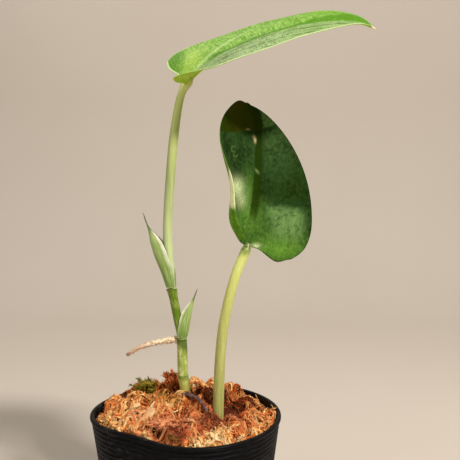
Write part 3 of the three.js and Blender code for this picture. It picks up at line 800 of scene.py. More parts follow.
def blade_face(leaf, s, w):
    """The upper face at shares s of the midrib and w from -1 to 1 across: points, normals, half widths, length.
    Each row is an arc that leaves the midrib at the fold and turns by the curl, drawn back by the lobe."""
    place, tangent, length = bezier(leaf["midrib"], s)
    along = unit(mix(unit(np.array(leaf["axis"])), tangent, rise(s, 0, 0.3)[:, None]))
    facing = np.array(leaf["facing"])
    level = unit(facing - (along @ facing)[:, None] * along)
    side = np.cross(along, level)
    roll = -np.radians(bend(s, leaf["roll"]))[:, None]
    side = side * np.cos(roll) + np.cross(along, side) * np.sin(roll)
    normal = np.cross(side, along)
    a, sign = np.abs(w), np.sign(w)
    points, widths = np.zeros((len(s), len(w), 3)), np.zeros((len(s), len(w)))
    for name, chosen in (("left", w < 0), ("right", w >= 0)):
        half = leaf[name]
        width = half_width(s, half)[:, None]
        fold, curl = (np.radians(bend(s, leaf[name + "_bend"][key]))[:, None] for key in ("fold", "curl"))
        curl = np.where(np.abs(curl) < 1e-4, 1e-4, curl)
        out = width * (np.sin(fold + curl * a) - np.sin(fold)) / curl
        up = width * (np.cos(fold) - np.cos(fold + curl * a)) / curl
        part = rise(a, 0, 0.8) - half["tuck"] * rise(a, 0.6, 0.4)
        back = half["lobe"] * (1 - s[:, None]) ** half["lobe_end"] * part
        whole = place[:, None] - back[..., None] * along[:, None] + (sign * out)[..., None] * side[:, None]
        whole = whole + up[..., None] * normal[:, None]
        points[:, chosen] = whole[:, chosen]
        widths[:, chosen] = np.broadcast_to(width, widths.shape)[:, chosen]
    points[:, :, 2] -= leaf["hook"] * s[:, None] ** 24
    down, cross = np.gradient(points, axis=0), np.gradient(points, axis=1)
    return points, unit(np.cross(cross, down)), widths, length


def soften(points, by_midrib, by_margin):
    """Even out the grid of points, across it by the midrib and along it by the lower margins."""
    across, along = by_midrib[:, 1:-1, None], by_margin[1:-1, :, None]
    for _ in range(BLADE["rounds"]):
        points[:, 1:-1] += 0.5 * across * (0.5 * (points[:, :-2] + points[:, 2:]) - points[:, 1:-1])
        points[1:-1] += 0.5 * along * (0.5 * (points[:-2] + points[2:]) - points[1:-1])


def make_blade(name, leaf, material, fields):
    """A thin blade with a grooved midrib, faint lateral veins that sweep forward, and a rib under it. Further
    point values for the material come from fields(s, w, sweep, far, points)."""
    s = leaf["reach"] * (0.5 - 0.5 * np.cos(np.pi * np.linspace(0, 1, BLADE["rows"])))
    t = np.linspace(-1, 1, BLADE["columns"])
    w = np.sign(t) * np.abs(t) ** 1.2
    points, normal, widths, length = blade_face(leaf, s, w)
    a, s = np.abs(w)[None], s[:, None]
    far, inward = w[None] * widths, (1 - a) * widths
    sweep = (s - BLADE["vein_sweep"] * a**1.35) * length
    between = sweep / BLADE["vein_gap"] + 0.35 * np.sign(w)
    vein = bell((between - np.round(between)) / 0.13) * rise(a, 0, 0.12) * fall(a, 0.8, 0.2)
    quilt = np.cos(2 * np.pi * between) * rise(a, 0, 0.25) * fall(a, 0.7, 0.3)
    groove = fall(s, 0.85, 0.15) * (leaf["groove"] * bell(far / 0.6) + leaf["valley"] * bell(far / 2.6))
    wave = np.sin(s * 21 + np.sign(w) * 1.3)
    ripple = wave * rise(a, 0.6, 0.4) * rise(s, 0, 0.125) * fall(s, 0.875, 0.125)
    relief = -0.02 * vein - 0.018 * quilt - groove + 0.16 * ripple
    upper = points + relief[..., None] * normal
    for amount, at, span in leaf["shifts"]:
        upper[:, :, 0] -= amount * bell((s - at) / span) * rise(-w[None], 0.12, 0.25)
    soften(upper, bell(far / 2.5), rise(a, 0.5, 0.3) * fall(s, 0.3, 0.15))
    rib = mix(1.5, 0.35, smooth(s**0.7))
    ridge = rib * np.sqrt(np.maximum(0, 1 - (far / rib) ** 2))
    thick = mix(0.12, 0.5, rise(inward, 0, 0.8)) + ridge + 0.05 * vein
    lower = upper - thick[..., None] * normal
    pull = 0.95 * np.maximum(0, 1 - np.hypot(s * length, far) / leaf["flare"])
    lower = mix(lower, np.array(leaf["foot"]), pull[..., None])
    margin = np.minimum(inward, s * length + 5 * fall(a, 0.15, 0.2))
    values = {"vein": vein, "margin": margin, **fields(s, w, sweep, far, upper)}
    values = {key: np.tile(np.broadcast_to(value, far.shape).ravel(), 2) for key, value in values.items()}
    grain = np.stack(np.broadcast_arrays(sweep, far, s * length), -1)
    values["grain"] = np.tile(grain.reshape(-1, 3), (2, 1))
    values["under"] = np.repeat([0.0, 1.0], far.size)
    piece(name + "_blade", *sheet(upper, lower), material, name, [name], **values)


def upper_fields(s, w, sweep, far, points):
    """Where the far half is deep green, partly painted shade beside the fold; where its pale crease runs, a pale
    vein with a painted highlight; and where the near half takes its painted silvery sheen.
    """
    x, y = points[..., 0], points[..., 1]
    edge = 6.5 * rise(s, 0.1, 0.2) * fall(s, 0.5, 0.35)
    # The crease: a pale vein with a painted highlight on its fold.
    crease = bell((far + 2.6 + 0.42 * (sweep - 12)) / 1.9) * rise(sweep, -2, 8) * fall(sweep, 22, 12)
    # A dark green band beside the fold, partly painted shade.
    channel = fall(np.abs(far - edge + 3.4), 1.6, 2) * rise(s, 0.1, 0.1)
    end = 0.9 * fall(x, -6, 7) + 0.6 * rise(s, 0.78, 0.12)
    return {
        # The near half, which takes the painted silvery sheen.
        "near": rise(far, edge - 0.4, 0.8),
        "deep": np.clip(0.9 * channel + 0.85 * end, 0, 1),
        "crease": crease * (w < 0),
        "bright": spots(x, y, [(2, 13, 7, 8, 1)]),
        "tip": rise(s, 0.962, 0.012),
        "rim": np.maximum(w > 0, 0.25 + 0.75 * fall(x, -2, 6)),
    }


def right_fields(s, w, sweep, far, points):
    """Painted light and shade on the blade by (x, z) in millimetres: silvery clouds of painted sheen and sunlight,
    a painted shadow over the top, painted shade in the valley, painted highlights by the inner edge of the left
    half, and a few old marks."""
    x, z = points[..., 0], points[..., 2]
    soft = {key: spots(x, z, places) for key, places in RIGHT_SPOTS.items()}
    # A silvery patch low on the right half: painted sunlight and sheen.
    painted_silver_sheen = rise(x + 0.25 * (z - 170), 36, 8) * fall(x, 51.6, 7)
    painted_silver_sheen = painted_silver_sheen * fall(z + 0.12 * (x - 40), 174, 5) * rise(z, 156, 12)
    # The dark top: a painted shadow of the upper leaf.
    top = rise(z - 0.15 * x, 208.3, 1) * fall(far, 1.2, 1.4)
    # The dark valley along the midrib: painted shade.
    valley = rise(far, -2.6, 0.9) * fall(far, 0.6, 2) * rise(s, 0.08, 0.14)
    hook = bell((np.hypot(x - 22.3, (z - 203.6) * 0.8) - 1.1) / 0.28) * (x < 22.9)
    hook = hook + bell((np.hypot(x - 23.1, z - 201) - 1) / 0.28) * (z < 201.3)
    slant = spots(x + 0.6 * (z - 193.4), z, [(33.6, 193.4, 0.7, 1.2, 0.6)])
    # The shoulder: painted light on the top of the right half, which lifts the shadow of the upper leaf there.
    shoulder = rise(z - 0.35 * (x - 35), 213.4, 1.5) * rise(far, 2.2, 1.2)
    # Painted shade in the valley and the band, and over the left part of the top, outside the upper leaf's cast
    # shadow.
    dark = valley * (1 - 0.6 * top) + soft["band"] + 0.9 * top * fall(x + 0.53 * z, 134.6, 3)
    return {
        # Pale and lit are painted light and the green spots are painted sunlight; dark and top are painted shade
        # and shadow.
        "pale": 0.8 * painted_silver_sheen + soft["painted_haze"] + 0.75 * shoulder,
        "lit": soft["lit"],
        "dark": np.clip(dark, 0, 1),
        "top": top,
        "painted_sunlight": np.clip(soft["painted_sunlight"], 0, 1),
        "mark": np.clip(soft["mark"], 0, 1),
        "scar": np.clip(slant + 0.3 * hook, 0, 1),
        # A pale strip of painted sunlight through the rolled-in left margin, and painted shade on the lobe under
        # it.
        "strip": rise(z, 175, 2) * rise(-w, 0.72 + 0.0016 * (z - 182) ** 2, 0.14),
        "shade": fall(z, 175, 3) * rise(-w, 0.35, 0.35),
    }


def sparkle(p, grain):
    """Small silvery flecks, and streaks that lie along the blade: two shares from 0 to 1."""
    flecks = p.between(p.cells(grain, (0.5, 1.25, 0)), 0.12, 0.38, 1, 0)
    return flecks, p.noise(grain, (0.17, 0.8, 0), 4, 0.66, 0.4)


def upper_paint():
    """Far half rich green with flecks, near half in a painted silvery sheen with dark streaks, pale rim and tip,
    olive beneath.
    """
    p = Paint("upper_leaf_skin", Subsurface_Weight=0.06, Subsurface_Scale=0.0015, Specular_IOR_Level=0.04)
    p.set(Subsurface_Radius=(0.4, 1.0, 0.2))
    grain = p.vector("grain")
    flecks, streaks = sparkle(p, grain)
    broad = p.noise(grain, (0.1, 0.1, 1), 3, 0.55)
    light = p.noise(grain, (0.07, 0.26, 3))
    long = p.noise(grain, (0.045, 0.5, 0))
    hair = p.noise(grain, (0.8, 1.7, 0), 4, 0.65)
    speckle = p.times(flecks, p.between(p.noise(grain, (1.1, 1.1, 0), 3, 0.6), 0.4, 0.56, 0, 0.8))
    green = p.layers(
        p.mix(p.between(broad, 0.42, 0.6), (132, 176, 68), (90, 138, 32)),
        (p.number("bright", 0.8), (164, 196, 84)),
        (p.between(streaks, 0.38, 0.56, 0.35, 0), (72, 118, 22)),
        # Deep green at the far left end, the tip and beside the fold, where it is partly painted shade.
        (p.number("deep", 0.92), (66, 118, 4)),
        # The pale crease with a painted highlight.
        (p.number("crease", 0.65), (176, 204, 126)),
        (p.times(speckle, p.between(p.number("deep"), 0, 1, 1, 0.25)), (212, 230, 170)),
    )
    # The near half: a painted silvery sheen over its own dark streaks.
    painted_silver_sheen = p.layers(
        p.mix(p.between(streaks, 0.37, 0.58), (58, 94, 34), (142, 168, 104)),
        (p.between(light, 0.46, 0.58, 0, 0.6), (186, 204, 150)),
        (p.between(long, 0.55, 0.59, 0, 0.85), (44, 80, 22)),
        (p.between(hair, 0.38, 0.56, 0.6, 0), (60, 98, 38)),
        (speckle, (206, 220, 176)),
        (p.between(p.number("margin"), 0.6, 2.4, 0.5, 0), (176, 194, 138)),
    )
    below = p.mix(p.between(broad, 0.35, 0.68), (154, 190, 40), (174, 206, 58))
    colour = p.layers(
        # The near half takes the painted sheen.
        p.mix(p.number("near"), green, painted_silver_sheen),
        (p.between(p.axis(p.place(), "X"), 24, 62, 0, 0.24), (96, 140, 46)),
        (p.number("vein", 0.12), (164, 200, 112)),
        (p.times(p.number("rim"), p.between(p.number("margin"), 0.35, 0.9, 0.8, 0)), (206, 224, 166)),
        (p.number("under"), below),
        (p.number("tip"), (238, 226, 180)),
    )
    p.set(Base_Color=colour, Roughness=p.between(streaks, 0.3, 0.8, 0.4, 0.55))
    p.set(Normal=p.bump(p.plus(flecks, streaks), 0.1, 0.5))
    return p.material


def right_paint():
    """Dark glossy green with fine sparkle, under painted light and shade: silvery clouds of painted sheen and
    sunlight, painted highlights, a painted shadow over the top and painted shade in a broad valley along the
    midrib.
    """
    p = Paint("right_leaf_skin", Subsurface_Weight=0.05, Subsurface_Scale=0.0015, Specular_IOR_Level=0.0)
    p.set(Subsurface_Radius=(0.4, 1.0, 0.2))
    grain, where = p.vector("grain"), p.place()
    flecks, streaks = sparkle(p, grain)
    broad = p.noise(where, (0.1, 0.1, 0.1), 4, 0.6)
    mottle = p.noise(where, (0.45, 0.45, 0.45), 4, 0.6)
    fine = p.noise(where, (1.5, 1.5, 1.5), 3, 0.6)
    # The painted light, and the sparkle that shows only in it.
    light = p.math("MAXIMUM", p.number("pale"), p.number("painted_sunlight"))
    sparkle_in_painted_light = p.times(flecks, p.between(light, 0, 0.8, 0.05, 0.28), p.between(fine, 0.42, 0.6))
    # The colour of the painted shadow over the top.
    painted_shadow_tone = p.mix(p.between(broad, 0.42, 0.62), (56, 66, 8), (64, 58, 12))
    face = p.layers(
        p.mix(p.between(broad, 0.38, 0.62), (20, 40, 12), (36, 60, 26)),
        (p.between(mottle, 0.4, 0.68, 0, 0.4), (62, 84, 44)),
        # Painted sunlight and painted sheen.
        (p.times(p.number("painted_sunlight"), p.between(mottle, 0.3, 0.6, 0.6, 1)), (92, 136, 46)),
        (p.times(p.number("pale"), p.between(mottle, 0.3, 0.56, 0.4, 1)), (112, 148, 84)),
        (p.between(streaks, 0.35, 0.6, 0.25, 0), (24, 44, 10)),
        (sparkle_in_painted_light, (176, 206, 148)),
        # Painted shadow over the top, painted shade, and painted highlights.
        (p.number("top", 0.9), painted_shadow_tone),
        (p.number("dark", 0.85), (28, 44, 2)),
        (p.times(p.number("lit", 0.85), p.between(fine, 0.36, 0.58, 0.45, 1)), (204, 218, 160)),
        (p.number("mark"), (204, 186, 140)),
        (p.number("scar"), (120, 144, 84)),
        (p.between(p.number("margin"), 0.1, 0.5, 0.8, 0), (26, 40, 12)),
    )
    below = p.layers(
        p.mix(p.between(broad, 0.35, 0.65), (108, 138, 66), (132, 158, 84)),
        (p.number("vein", 0.3), (160, 182, 112)),
        # Underneath: a pale strip of painted sunlight through the rolled-in margin.
        (p.number("strip"), p.mix(p.between(mottle, 0.35, 0.68), (226, 232, 164), (246, 248, 200))),
        (p.number("shade"), p.mix(p.between(mottle, 0.3, 0.7), (78, 122, 28), (108, 154, 54))),
    )
    p.set(Base_Color=p.mix(p.number("under"), face, below))
    p.set(Roughness=p.between(mottle, 0.3, 0.8, 0.28, 0.42))
    p.set(Normal=p.bump(p.plus(flecks, mottle), 0.05, 0.4))
    return p.material


make_blade("upper_leaf", UPPER_LEAF, upper_paint(), upper_fields)
make_blade("right_leaf", RIGHT_LEAF, right_paint(), right_fields)

# Aerial root and dead root

AERIAL_ROOT = [(-4.4, 4, 112.5), (-11, 3, 111.8), (-17, 0, 111.3), (-23, -2.5, 109.7), (-28, -4, 106.8)]
DEAD_ROOT = [(-4.6, -1.2, 86.4), (1, -3.8, 87.6), (6.5, -7.6, 86), (10.4, -13.5, 82.2)]
HAIRS = {"count": 1700, "radii": [0.11, 0.1, 0.07, 0.02], "spread": 0.3, "droop": -0.1}


def aerial_root_paint():
    """Crusty cream and tan with a brown tip."""
    p = Paint("aerial_root_skin", Roughness=0.95, Specular_IOR_Level=0.1)
    where = p.place()
    across = p.axis(where, "X")
    crust = p.noise(where, 0.9, 5, 0.7)
    colour = p.layers(
        p.ramp(crust, (0.32, (190, 140, 100)), (0.46, (240, 208, 168)), (0.6, (255, 244, 222))),
        (p.between(across, -26, -14, 0.5, 0), (206, 158, 132)),
        (p.between(across, -28.5, -26, 0.85, 0), (120, 66, 30)),
    )
    p.set(Base_Color=colour, Normal=p.bump(p.noise(where, 3, 5, 0.75), 0.5))
    return p.material


def make_aerial_root(material):
    """A root whose skin is lumpy, under a down of short root hairs that thins towards its tip."""
    steps, count = 160, HAIRS["count"]
    path, body = lumpy_root(AERIAL_ROOT, steps, 1.45, 0.55, 24, [(0.45, 26, 1.9), (0.35, 70, 4)])
    share = np.linspace(0, 1, steps)
    at = drawn(count, 0, 1, 1.1)
    start = np.stack([np.interp(at, share, path[:, k]) for k in range(3)], 1)
    out = unit(random.normal(size=(count, 3)))
    ahead = unit(np.stack([np.interp(at, share, np.gradient(path[:, k])) for k in range(3)], 1))
    out = unit(out - (out * ahead).sum(1, keepdims=True) * ahead * 0.75)
    long = drawn(count, 0.3, 1.4, 2) * mix(1, 0.5, at)
    u = np.linspace(0, 1, len(HAIRS["radii"]))[None, :, None]
    bent = HAIRS["spread"] * random.normal(size=(count, 1, 3)) + [0, 0, HAIRS["droop"]]
    foot = 0.8 * mix(1.4, 0.5, at)
    paths = start[:, None] + out[:, None] * (foot[:, None, None] + u * long[:, None, None]) + bent * u**2
    hairs = tubes(paths, np.tile(HAIRS["radii"], (count, 1)), 3)
    piece("aerial_root_skin", *join([body, hairs]), material, "aerial_root", ["aerial_root"])


def dead_root_paint():
    """Mottled dark purple-brown."""
    p = Paint("dead_root_skin", Roughness=0.55)
    where = p.place()
    skin = p.noise(where, (0.8, 0.8, 0.8), 4, 0.65)
    p.set(Base_Color=p.ramp(skin, (0.3, (40, 20, 16)), (0.5, (84, 54, 54)), (0.75, (158, 124, 116))))
    p.set(Normal=p.bump(p.noise(where, 2.5, 4, 0.7), 0.3, 0.8))
    return p.material


def make_dead_root(material):
    """A limp lumpy strand on the moss."""
    _, body = lumpy_root(DEAD_ROOT, 120, 1, 0.6, 16, [(0.7, 16, 1.6)])
    piece("dead_root_skin", *body, material, "dead_root", ["dead_root"])


make_aerial_root(aerial_root_paint())
make_dead_root(dead_root_paint())

# Moss

STANDING = [(-0.9, 5, 3.1), (15.1, -9, 3.0)]  # the stem and the right petiole: x, y and radius
MOSS_EDGE, MOSS_TOP = 75.2, 85.4
MOSS_MIDDLE, MOSS_REACH = (-3, 7), 44
SEAM_DEPTH, CLUMP_RISE, CLUMP_SHOULDER = 2.4, 3.7, 4
MOUND = {"sides": 200, "rings": 80, "levels": (1.8, 20, 40, 60, 70), "wall_gap": 1.3, "edge_gap": 2.4, "sunk": 1.1}
HOLLOWS = [(17, -4, 7, 5, 5), (22, 4, 8, 6, 2.5), (33, 22, 12, 11, 3.5), (-41, 4, 5, 14, 2.2)]
HOLLOWS += [(x, y, 6, 6, 1.6) for x, y, _ in STANDING]


def moss_height(x, y):
    """A dome over the pot, with two sizes of lumps, less the hollows."""
    r = np.minimum(1, np.hypot(x - MOSS_MIDDLE[0], y - MOSS_MIDDLE[1]) / MOSS_REACH)
    dome = mix(MOSS_EDGE, MOSS_TOP, (1 - r * r) ** 1.2)
    lumps = 3 * hills(x / 7, y / 7) + 1.6 * hills(x / 3.1 + 9, y / 3.1)
    return dome + lumps - spots(x, y, HOLLOWS)


def inside(x, y, clear):
    """The same place, drawn in to stay clear of the dented pot wall."""
    limit = wall_reach(np.degrees(np.arctan2(y, x)), MOSS_EDGE) - POT["wall"] - clear
    hold = np.minimum(1, limit / np.maximum(np.hypot(x, y), 1e-6))
    return x * hold, y * hold


def aside(x, y, clear):
    """The same place, pushed away from what stands in the moss."""
    for cx, cy, radius in STANDING:
        away = np.maximum(np.hypot(x - cx, y - cy), 1e-3)
        scale = np.maximum(1, (radius + clear) / away)
        x, y = cx + (x - cx) * scale, cy + (y - cy) * scale
    return x, y


def scattered(count, reach, apart):
    """Seeded places within reach of the pot's axis, none nearer than apart to another."""
    places = []
    while len(places) < count:
        r, a = reach * math.sqrt(random.random()), 2 * math.pi * random.random()
        x, y = r * math.cos(a), r * math.sin(a)
        if all(math.hypot(x - u, y - v) > apart for u, v in places):
            places.append((x, y))
        else:
            apart *= 0.999
    return np.array(places)


CLUMPS = scattered(48, 42, 9.8)


def clump(x, y):
    """The nearest clump, and how far the place is from that clump's edge in millimetres."""
    away = np.hypot(x[..., None] - CLUMPS[:, 0], y[..., None] - CLUMPS[:, 1])
    order = np.sort(away, axis=-1)
    return away.argmin(-1), (order[..., 1] - order[..., 0]) / 2


def top(x, y):
    """The height of the moss with its clumps, which stand up between sunk seams."""
    return moss_height(x, y) - SEAM_DEPTH + CLUMP_RISE * rise(clump(x, y)[1], 0, CLUMP_SHOULDER)


def make_mound(material):
    """The body of the moss under its strands, dark as painted shade, from the pot's floor to the top."""
    sides = MOUND["sides"]
    ring, degrees, rings = circle(sides), np.degrees(around(sides)), []
    for z in MOUND["levels"]:
        reach = wall_reach(degrees, z) - MOUND["wall_gap"]
        rings.append(np.c_[reach[:, None] * ring, np.full(sides, z)])
    reach = wall_reach(degrees, MOSS_EDGE) - MOUND["edge_gap"]
    for part in np.linspace(1, 0.02, MOUND["rings"]):
        x, y = (part * reach[:, None] * ring).T
        rings.append(np.c_[x, y, top(x, y) - MOUND["sunk"] - 0.7 * hills(x / 1.1, y / 1.1)])
    points = np.vstack(rings)
    index = np.arange(len(points)).reshape(-1, sides)
    faces = ring_quads(index) + [index[0, ::-1].tolist(), index[-1].tolist()]
    piece("moss_mound", points, faces, material, "moss", ["moss_bed"])


def mound_paint():
    """Dark brown: painted shade for the depths of the moss between its strands."""
    p = Paint("moss_shade", Roughness=1.0, Specular_IOR_Level=0.03)
    shade_noise = p.noise(p.place(), 1.1, 5, 0.7)
    p.set(Base_Color=p.ramp(shade_noise, (0.35, (34, 14, 6)), (0.55, (86, 38, 16)), (0.75, (150, 84, 44))))
    p.set(Normal=p.bump(shade_noise, 1.5))
    return p.material


REGIONS = {  # soft spots of each tint: x, y, width, depth and strength
    "pink": [(-6, -27, 13, 8, 1), (-20, -14, 8, 6, 1), (20, -12, 10, 8, 1), (3, -20, 7, 6, 1)],
    "pale": [
        *[(14, -34, 12, 4, 1), (8, 18, 10, 7, 1), (-14, -13, 8, 5, 1), (23, -30, 10, 5, 1)],
        *[(-28, -10, 5, 5, 1), (36, -5, 8, 9, 1)],
    ],
    # The dark spots are painted shade over the hollows.
    "dark": [
        *[(20, 2, 13, 10, 1), (9, 3, 8, 8, 1), (17, -4, 6, 5, 1), (-3, -31, 5, 3, 1), (12, -18, 4, 4, 1)],
        *[(32, 12, 6, 5, 1), (-9, 12, 6, 6, 1)],
    ],
    "olive": [
        *[(-38, -16, 6, 5, 1), (-13, 2, 6, 8, 1), (-6, -4, 5, 5, 1), (-24, 14, 7, 5, 1)],
        (-4, -33, 5, 3, 1),
    ],
}
ORANGE = [
    *[(0.02, (88, 30, 8)), (0.16, (160, 68, 24)), (0.32, (208, 106, 48)), (0.5, (230, 136, 72))],
    *[(0.68, (242, 168, 98)), (0.84, (250, 200, 130)), (0.97, (255, 232, 176))],
]


def moss_paint():
    """Dry sphagnum: a colour for each strand, shifted by region, with painted shade low in the moss and in its
    dark regions, paler at its ends.
    """
    p = Paint("moss_orange", Roughness=0.95, Subsurface_Weight=0.1, Subsurface_Scale=0.001)
    p.set(Subsurface_Radius=(1.0, 0.5, 0.25), Specular_IOR_Level=0.08)
    where = p.place()
    fine = p.noise(where, 1.6, 4, 0.7)
    patch = p.between(p.noise(where, 0.16, 3), 0.3, 0.7, 0, 0.25)
    tint = p.minus(p.plus(p.number("tint", 0.75), patch, p.number("pale", 0.22)), p.number("dark", 0.62))
    green = p.between(p.noise(where, 0.5, 3, 0.6), 0.42, 0.58, 0, 0.8)
    # Painted shade low in the moss and in its dark regions.
    painted_depth_shade = p.plus(p.between(p.number("depth"), 0, 0.7, 0.92, 0), p.number("dark", 0.42))
    colour = p.layers(
        p.ramp(tint, *ORANGE),
        (p.times(p.number("pink"), p.between(fine, 0.3, 0.7, 0.25, 0.75)), (196, 98, 78)),
        (p.times(p.number("olive"), green), (128, 112, 22)),
        (p.between(fine, 0.3, 0.6, 0.62, 0), (108, 42, 16)),
        (p.between(fine, 0.58, 0.75, 0, 0.5), (255, 214, 150)),
        (p.between(p.number("share"), 0.6, 1, 0, 0.35), (252, 206, 136)),
        (p.math("MINIMUM", painted_depth_shade, 0.95), (44, 14, 4)),
    )
    p.set(Base_Color=colour, Normal=p.bump(p.noise(where, 3.5, 4, 0.75), 0.3, 0.8))
    return p.material


# Kinds of strand: length, width, lift and curl are drawn as (low, high, power). Stray is how far headings leave
# their clump's, free is the share that stands out, and late kinds draw their widths after their paths.
STRANDS = dict(
    count=1650, reach=41.5, steps=12, sides=5, stray=0.45, length=(5, 14), width=(0.42, 1.1, 1.3), late=False,
    lift=(0.3, 2.6, 1.5), bow=0.9, curl=(0.3, 1.4), free=0.15, sink=0.7, clear=1.2, flat=0.6, rough=0.4,
)
FLAKES = dict(
    count=150, reach=40, steps=12, sides=6, stray=0.5, length=(6, 14), width=(0.6, 1.6, 1.5), late=False,
    lift=(1.2, 3.4), bow=0.9, curl=(0.1, 0.6), free=0.2, sink=0.7, clear=1.8, flat=0.16, rough=0.25,
)
WISPS = dict(
    count=1500, reach=42, steps=10, sides=3, stray=1.2, length=(2.5, 8), width=(0.1, 0.28), late=True,
    lift=(0.8, 3.2), bow=1, curl=(0.2, 1.0), free=0.45, sink=0.3, clear=0.8, flat=0.8, rough=0.4,
)


def seats_on_moss(kind):
    """Even random places (x, y) within the kind's reach."""
    r, a = kind["reach"] * np.sqrt(random.random(kind["count"])), 2 * np.pi * random.random(kind["count"])
    return np.stack([r * np.cos(a), r * np.sin(a)], 1)


def clump_traits(seats, stray):
    """A heading and a tint for each seat. Clumps have a swirl and colour, from which their strands stray."""
    own = random.random((2, len(CLUMPS)))
    nearest, _ = clump(seats[:, 0], seats[:, 1])
    offset = seats - CLUMPS[nearest]
    swirl = np.arctan2(offset[:, 1], offset[:, 0]) + math.pi / 2
    straight = 2 * math.pi * own[0, nearest]
    heading = np.where(own[1, nearest] > 0.5, swirl, straight) + stray * random.normal(size=len(seats))
    tint = np.clip(0.62 * own[1, nearest] + 0.25 * random.normal(size=len(seats)) + 0.22, 0, 1)
    return heading, tint


def arcs(kind, seats, heading, length, lift, bow, curl, free):
    """Arcs over the moss with a sideways bow and a wavy curl. A strand with free at 1 stands out of the moss at
    its far end, and any other dives back in."""
    u = np.linspace(0, 1, kind["steps"])[None]
    phase, turns = 2 * np.pi * random.random((len(seats), 1)), drawn((len(seats), 1), 0.7, 2.1)
    wave = 2 * np.pi * turns * u + phase
    along = length * (u - 0.5)
    sideways = bow * np.sin(np.pi * u) + curl * np.sin(wave)
    c, s = np.cos(heading)[:, None], np.sin(heading)[:, None]
    x, y = aside(seats[:, :1] + along * c - sideways * s, seats[:, 1:] + along * s + sideways * c, 0.6)
    x, y = inside(x, y, kind["clear"])
    arch = mix(np.sin(np.pi * u), u**1.5 * 1.3, free)
    z = top(x, y) - kind["sink"] + lift * arch + 0.5 * curl * np.cos(wave)
    return np.stack([x, y, z], -1)


def ragged(paths, width, sides, flat, rough):
    """Tubes along the paths that taper at both ends and swell and pinch on the way."""
    n, steps, _ = paths.shape
    u = np.linspace(0, 1, steps)[None]
    taper = np.sin(np.pi * mix(0.1, 0.97, u)) ** 0.6
    teeth = 1 + rough * np.sin(2 * np.pi * (u * drawn((n, 1), 2, 6) + random.random((n, 1))))
    teeth = teeth + rough * (random.random((n, steps)) - 0.5)
    return tubes(paths, width[:, None] * taper * teeth, sides, flat)


def strands(kind, seats):
    """The paths, tints and bodies of one kind of strand on its seats."""
    n = kind["count"]
    heading, tint = clump_traits(seats, kind["stray"])
    length = drawn(n, *kind["length"])
    width = None if kind["late"] else drawn(n, *kind["width"])
    lift = drawn(n, *kind["lift"])
    bow = (random.random(n) - 0.5) * kind["bow"] * length
    curl = drawn(n, *kind["curl"])
    free = (random.random(n) < kind["free"]) * 1.0
    paths = arcs(kind, seats, heading, *(part[:, None] for part in (length, lift, bow, curl, free)))
    width = drawn(n, *kind["width"]) if kind["late"] else width
    return paths, tint, ragged(paths, width, kind["sides"], kind["flat"], kind["rough"])


def scales(paths, each, size, spread):
    """Small pointed moss leaves, each a slim pyramid, that grow forward along the paths on all sides."""
    n, steps, _ = paths.shape
    row = np.repeat(np.arange(n), each)
    count = len(row)
    at = random.random(count) * (steps - 1.001)
    step = at.astype(int)
    seat = mix(paths[row, step], paths[row, step + 1], (at - step)[:, None])
    ahead = unit(paths[row, step + 1] - paths[row, step])
    out = random.normal(size=seat.shape) + [0, 0, 0.5]
    out = unit(out - (out * ahead).sum(1, keepdims=True) * ahead)
    long = (size[row] * drawn(count, 0.6, 1.4))[:, None]
    reach = unit(ahead * drawn((count, 1), 0.5, 1.1) + out * spread) * long
    twist = mix(np.cross(ahead, out), out, drawn((count, 1), 0, 0.5))
    half_base, keel = 0.24 * long * twist, 0.12 * long * out
    corners = [seat - half_base, seat + half_base, seat + keel, seat + reach]
    first = 4 * np.arange(count)[:, None, None]
    faces = (first + np.array([[0, 2, 1], [0, 1, 3], [1, 2, 3], [2, 0, 3]])).reshape(-1, 3)
    return np.stack(corners, 1).reshape(-1, 3), faces.tolist(), row


def moss_values(points, tint, share):
    """Each point's strand colour and end share, and how far it lies in each tinted region."""
    x, y = points[:, 0], points[:, 1]
    fields = {name: np.minimum(1, spots(x, y, places)) for name, places in REGIONS.items()}
    return {"tint": tint, "share": share, "depth": rise(points[:, 2] - top(x, y), -1.2, 2.4), **fields}


def add_moss(name, body, paint, tint, steps, sides):
    """A piece of moss whose points carry their strand's tint and their share along it."""
    points, faces = body
    shape = (len(tint), steps, sides)
    tint = np.broadcast_to(tint[:, None, None], shape).ravel()
    share = np.broadcast_to(np.linspace(0, 1, steps)[None, :, None], shape).ravel()
    piece(name, points, faces, paint, "moss", **moss_values(points, tint, share))


def make_strands(paint):
    """The fluffy branches: ragged cores that lie along their clump, dressed with small pointed leaves."""
    paths, tint, body = strands(STRANDS, seats_on_moss(STRANDS))
    add_moss("moss_strands", body, paint, tint, STRANDS["steps"], STRANDS["sides"])
    points, faces, row = scales(paths, 16, drawn(len(paths), 1.2, 2.6), 0.35)
    tint = np.clip(tint[row] + 0.12 * random.normal(size=len(row)), 0, 1)
    values = moss_values(points, np.repeat(tint, 4), np.tile([0.1, 0.1, 0.1, 0.8], len(row)))
    piece("moss_leaves", points, faces, paint, "moss", **values)


def make_flakes(paint):
    """Flat dry strips, nearly half of them at the left."""
    seats, left = seats_on_moss(FLAKES), 70
    seats[:left] = np.array([-26, -8]) + random.normal(size=(left, 2)) * [9, 11]
    _, tint, body = strands(FLAKES, seats)
    add_moss("moss_flakes", body, paint, np.clip(tint * 0.5 + 0.45, 0, 1), FLAKES["steps"], FLAKES["sides"])


def make_wisps(paint):
    """Fine pale threads that lie and stand over everything, thicker along the far rim of the mound."""
    seats = seats_on_moss(WISPS)
    back = random.random(WISPS["count"]) < 0.18
    seats[back] = np.stack([drawn(back.sum(), -8, 34), drawn(back.sum(), 6, 22)], 1)
    _, tint, body = strands(WISPS, seats)
    add_moss("moss_wisps", body, paint, np.clip(tint + 0.15, 0, 1), WISPS["steps"], WISPS["sides"])


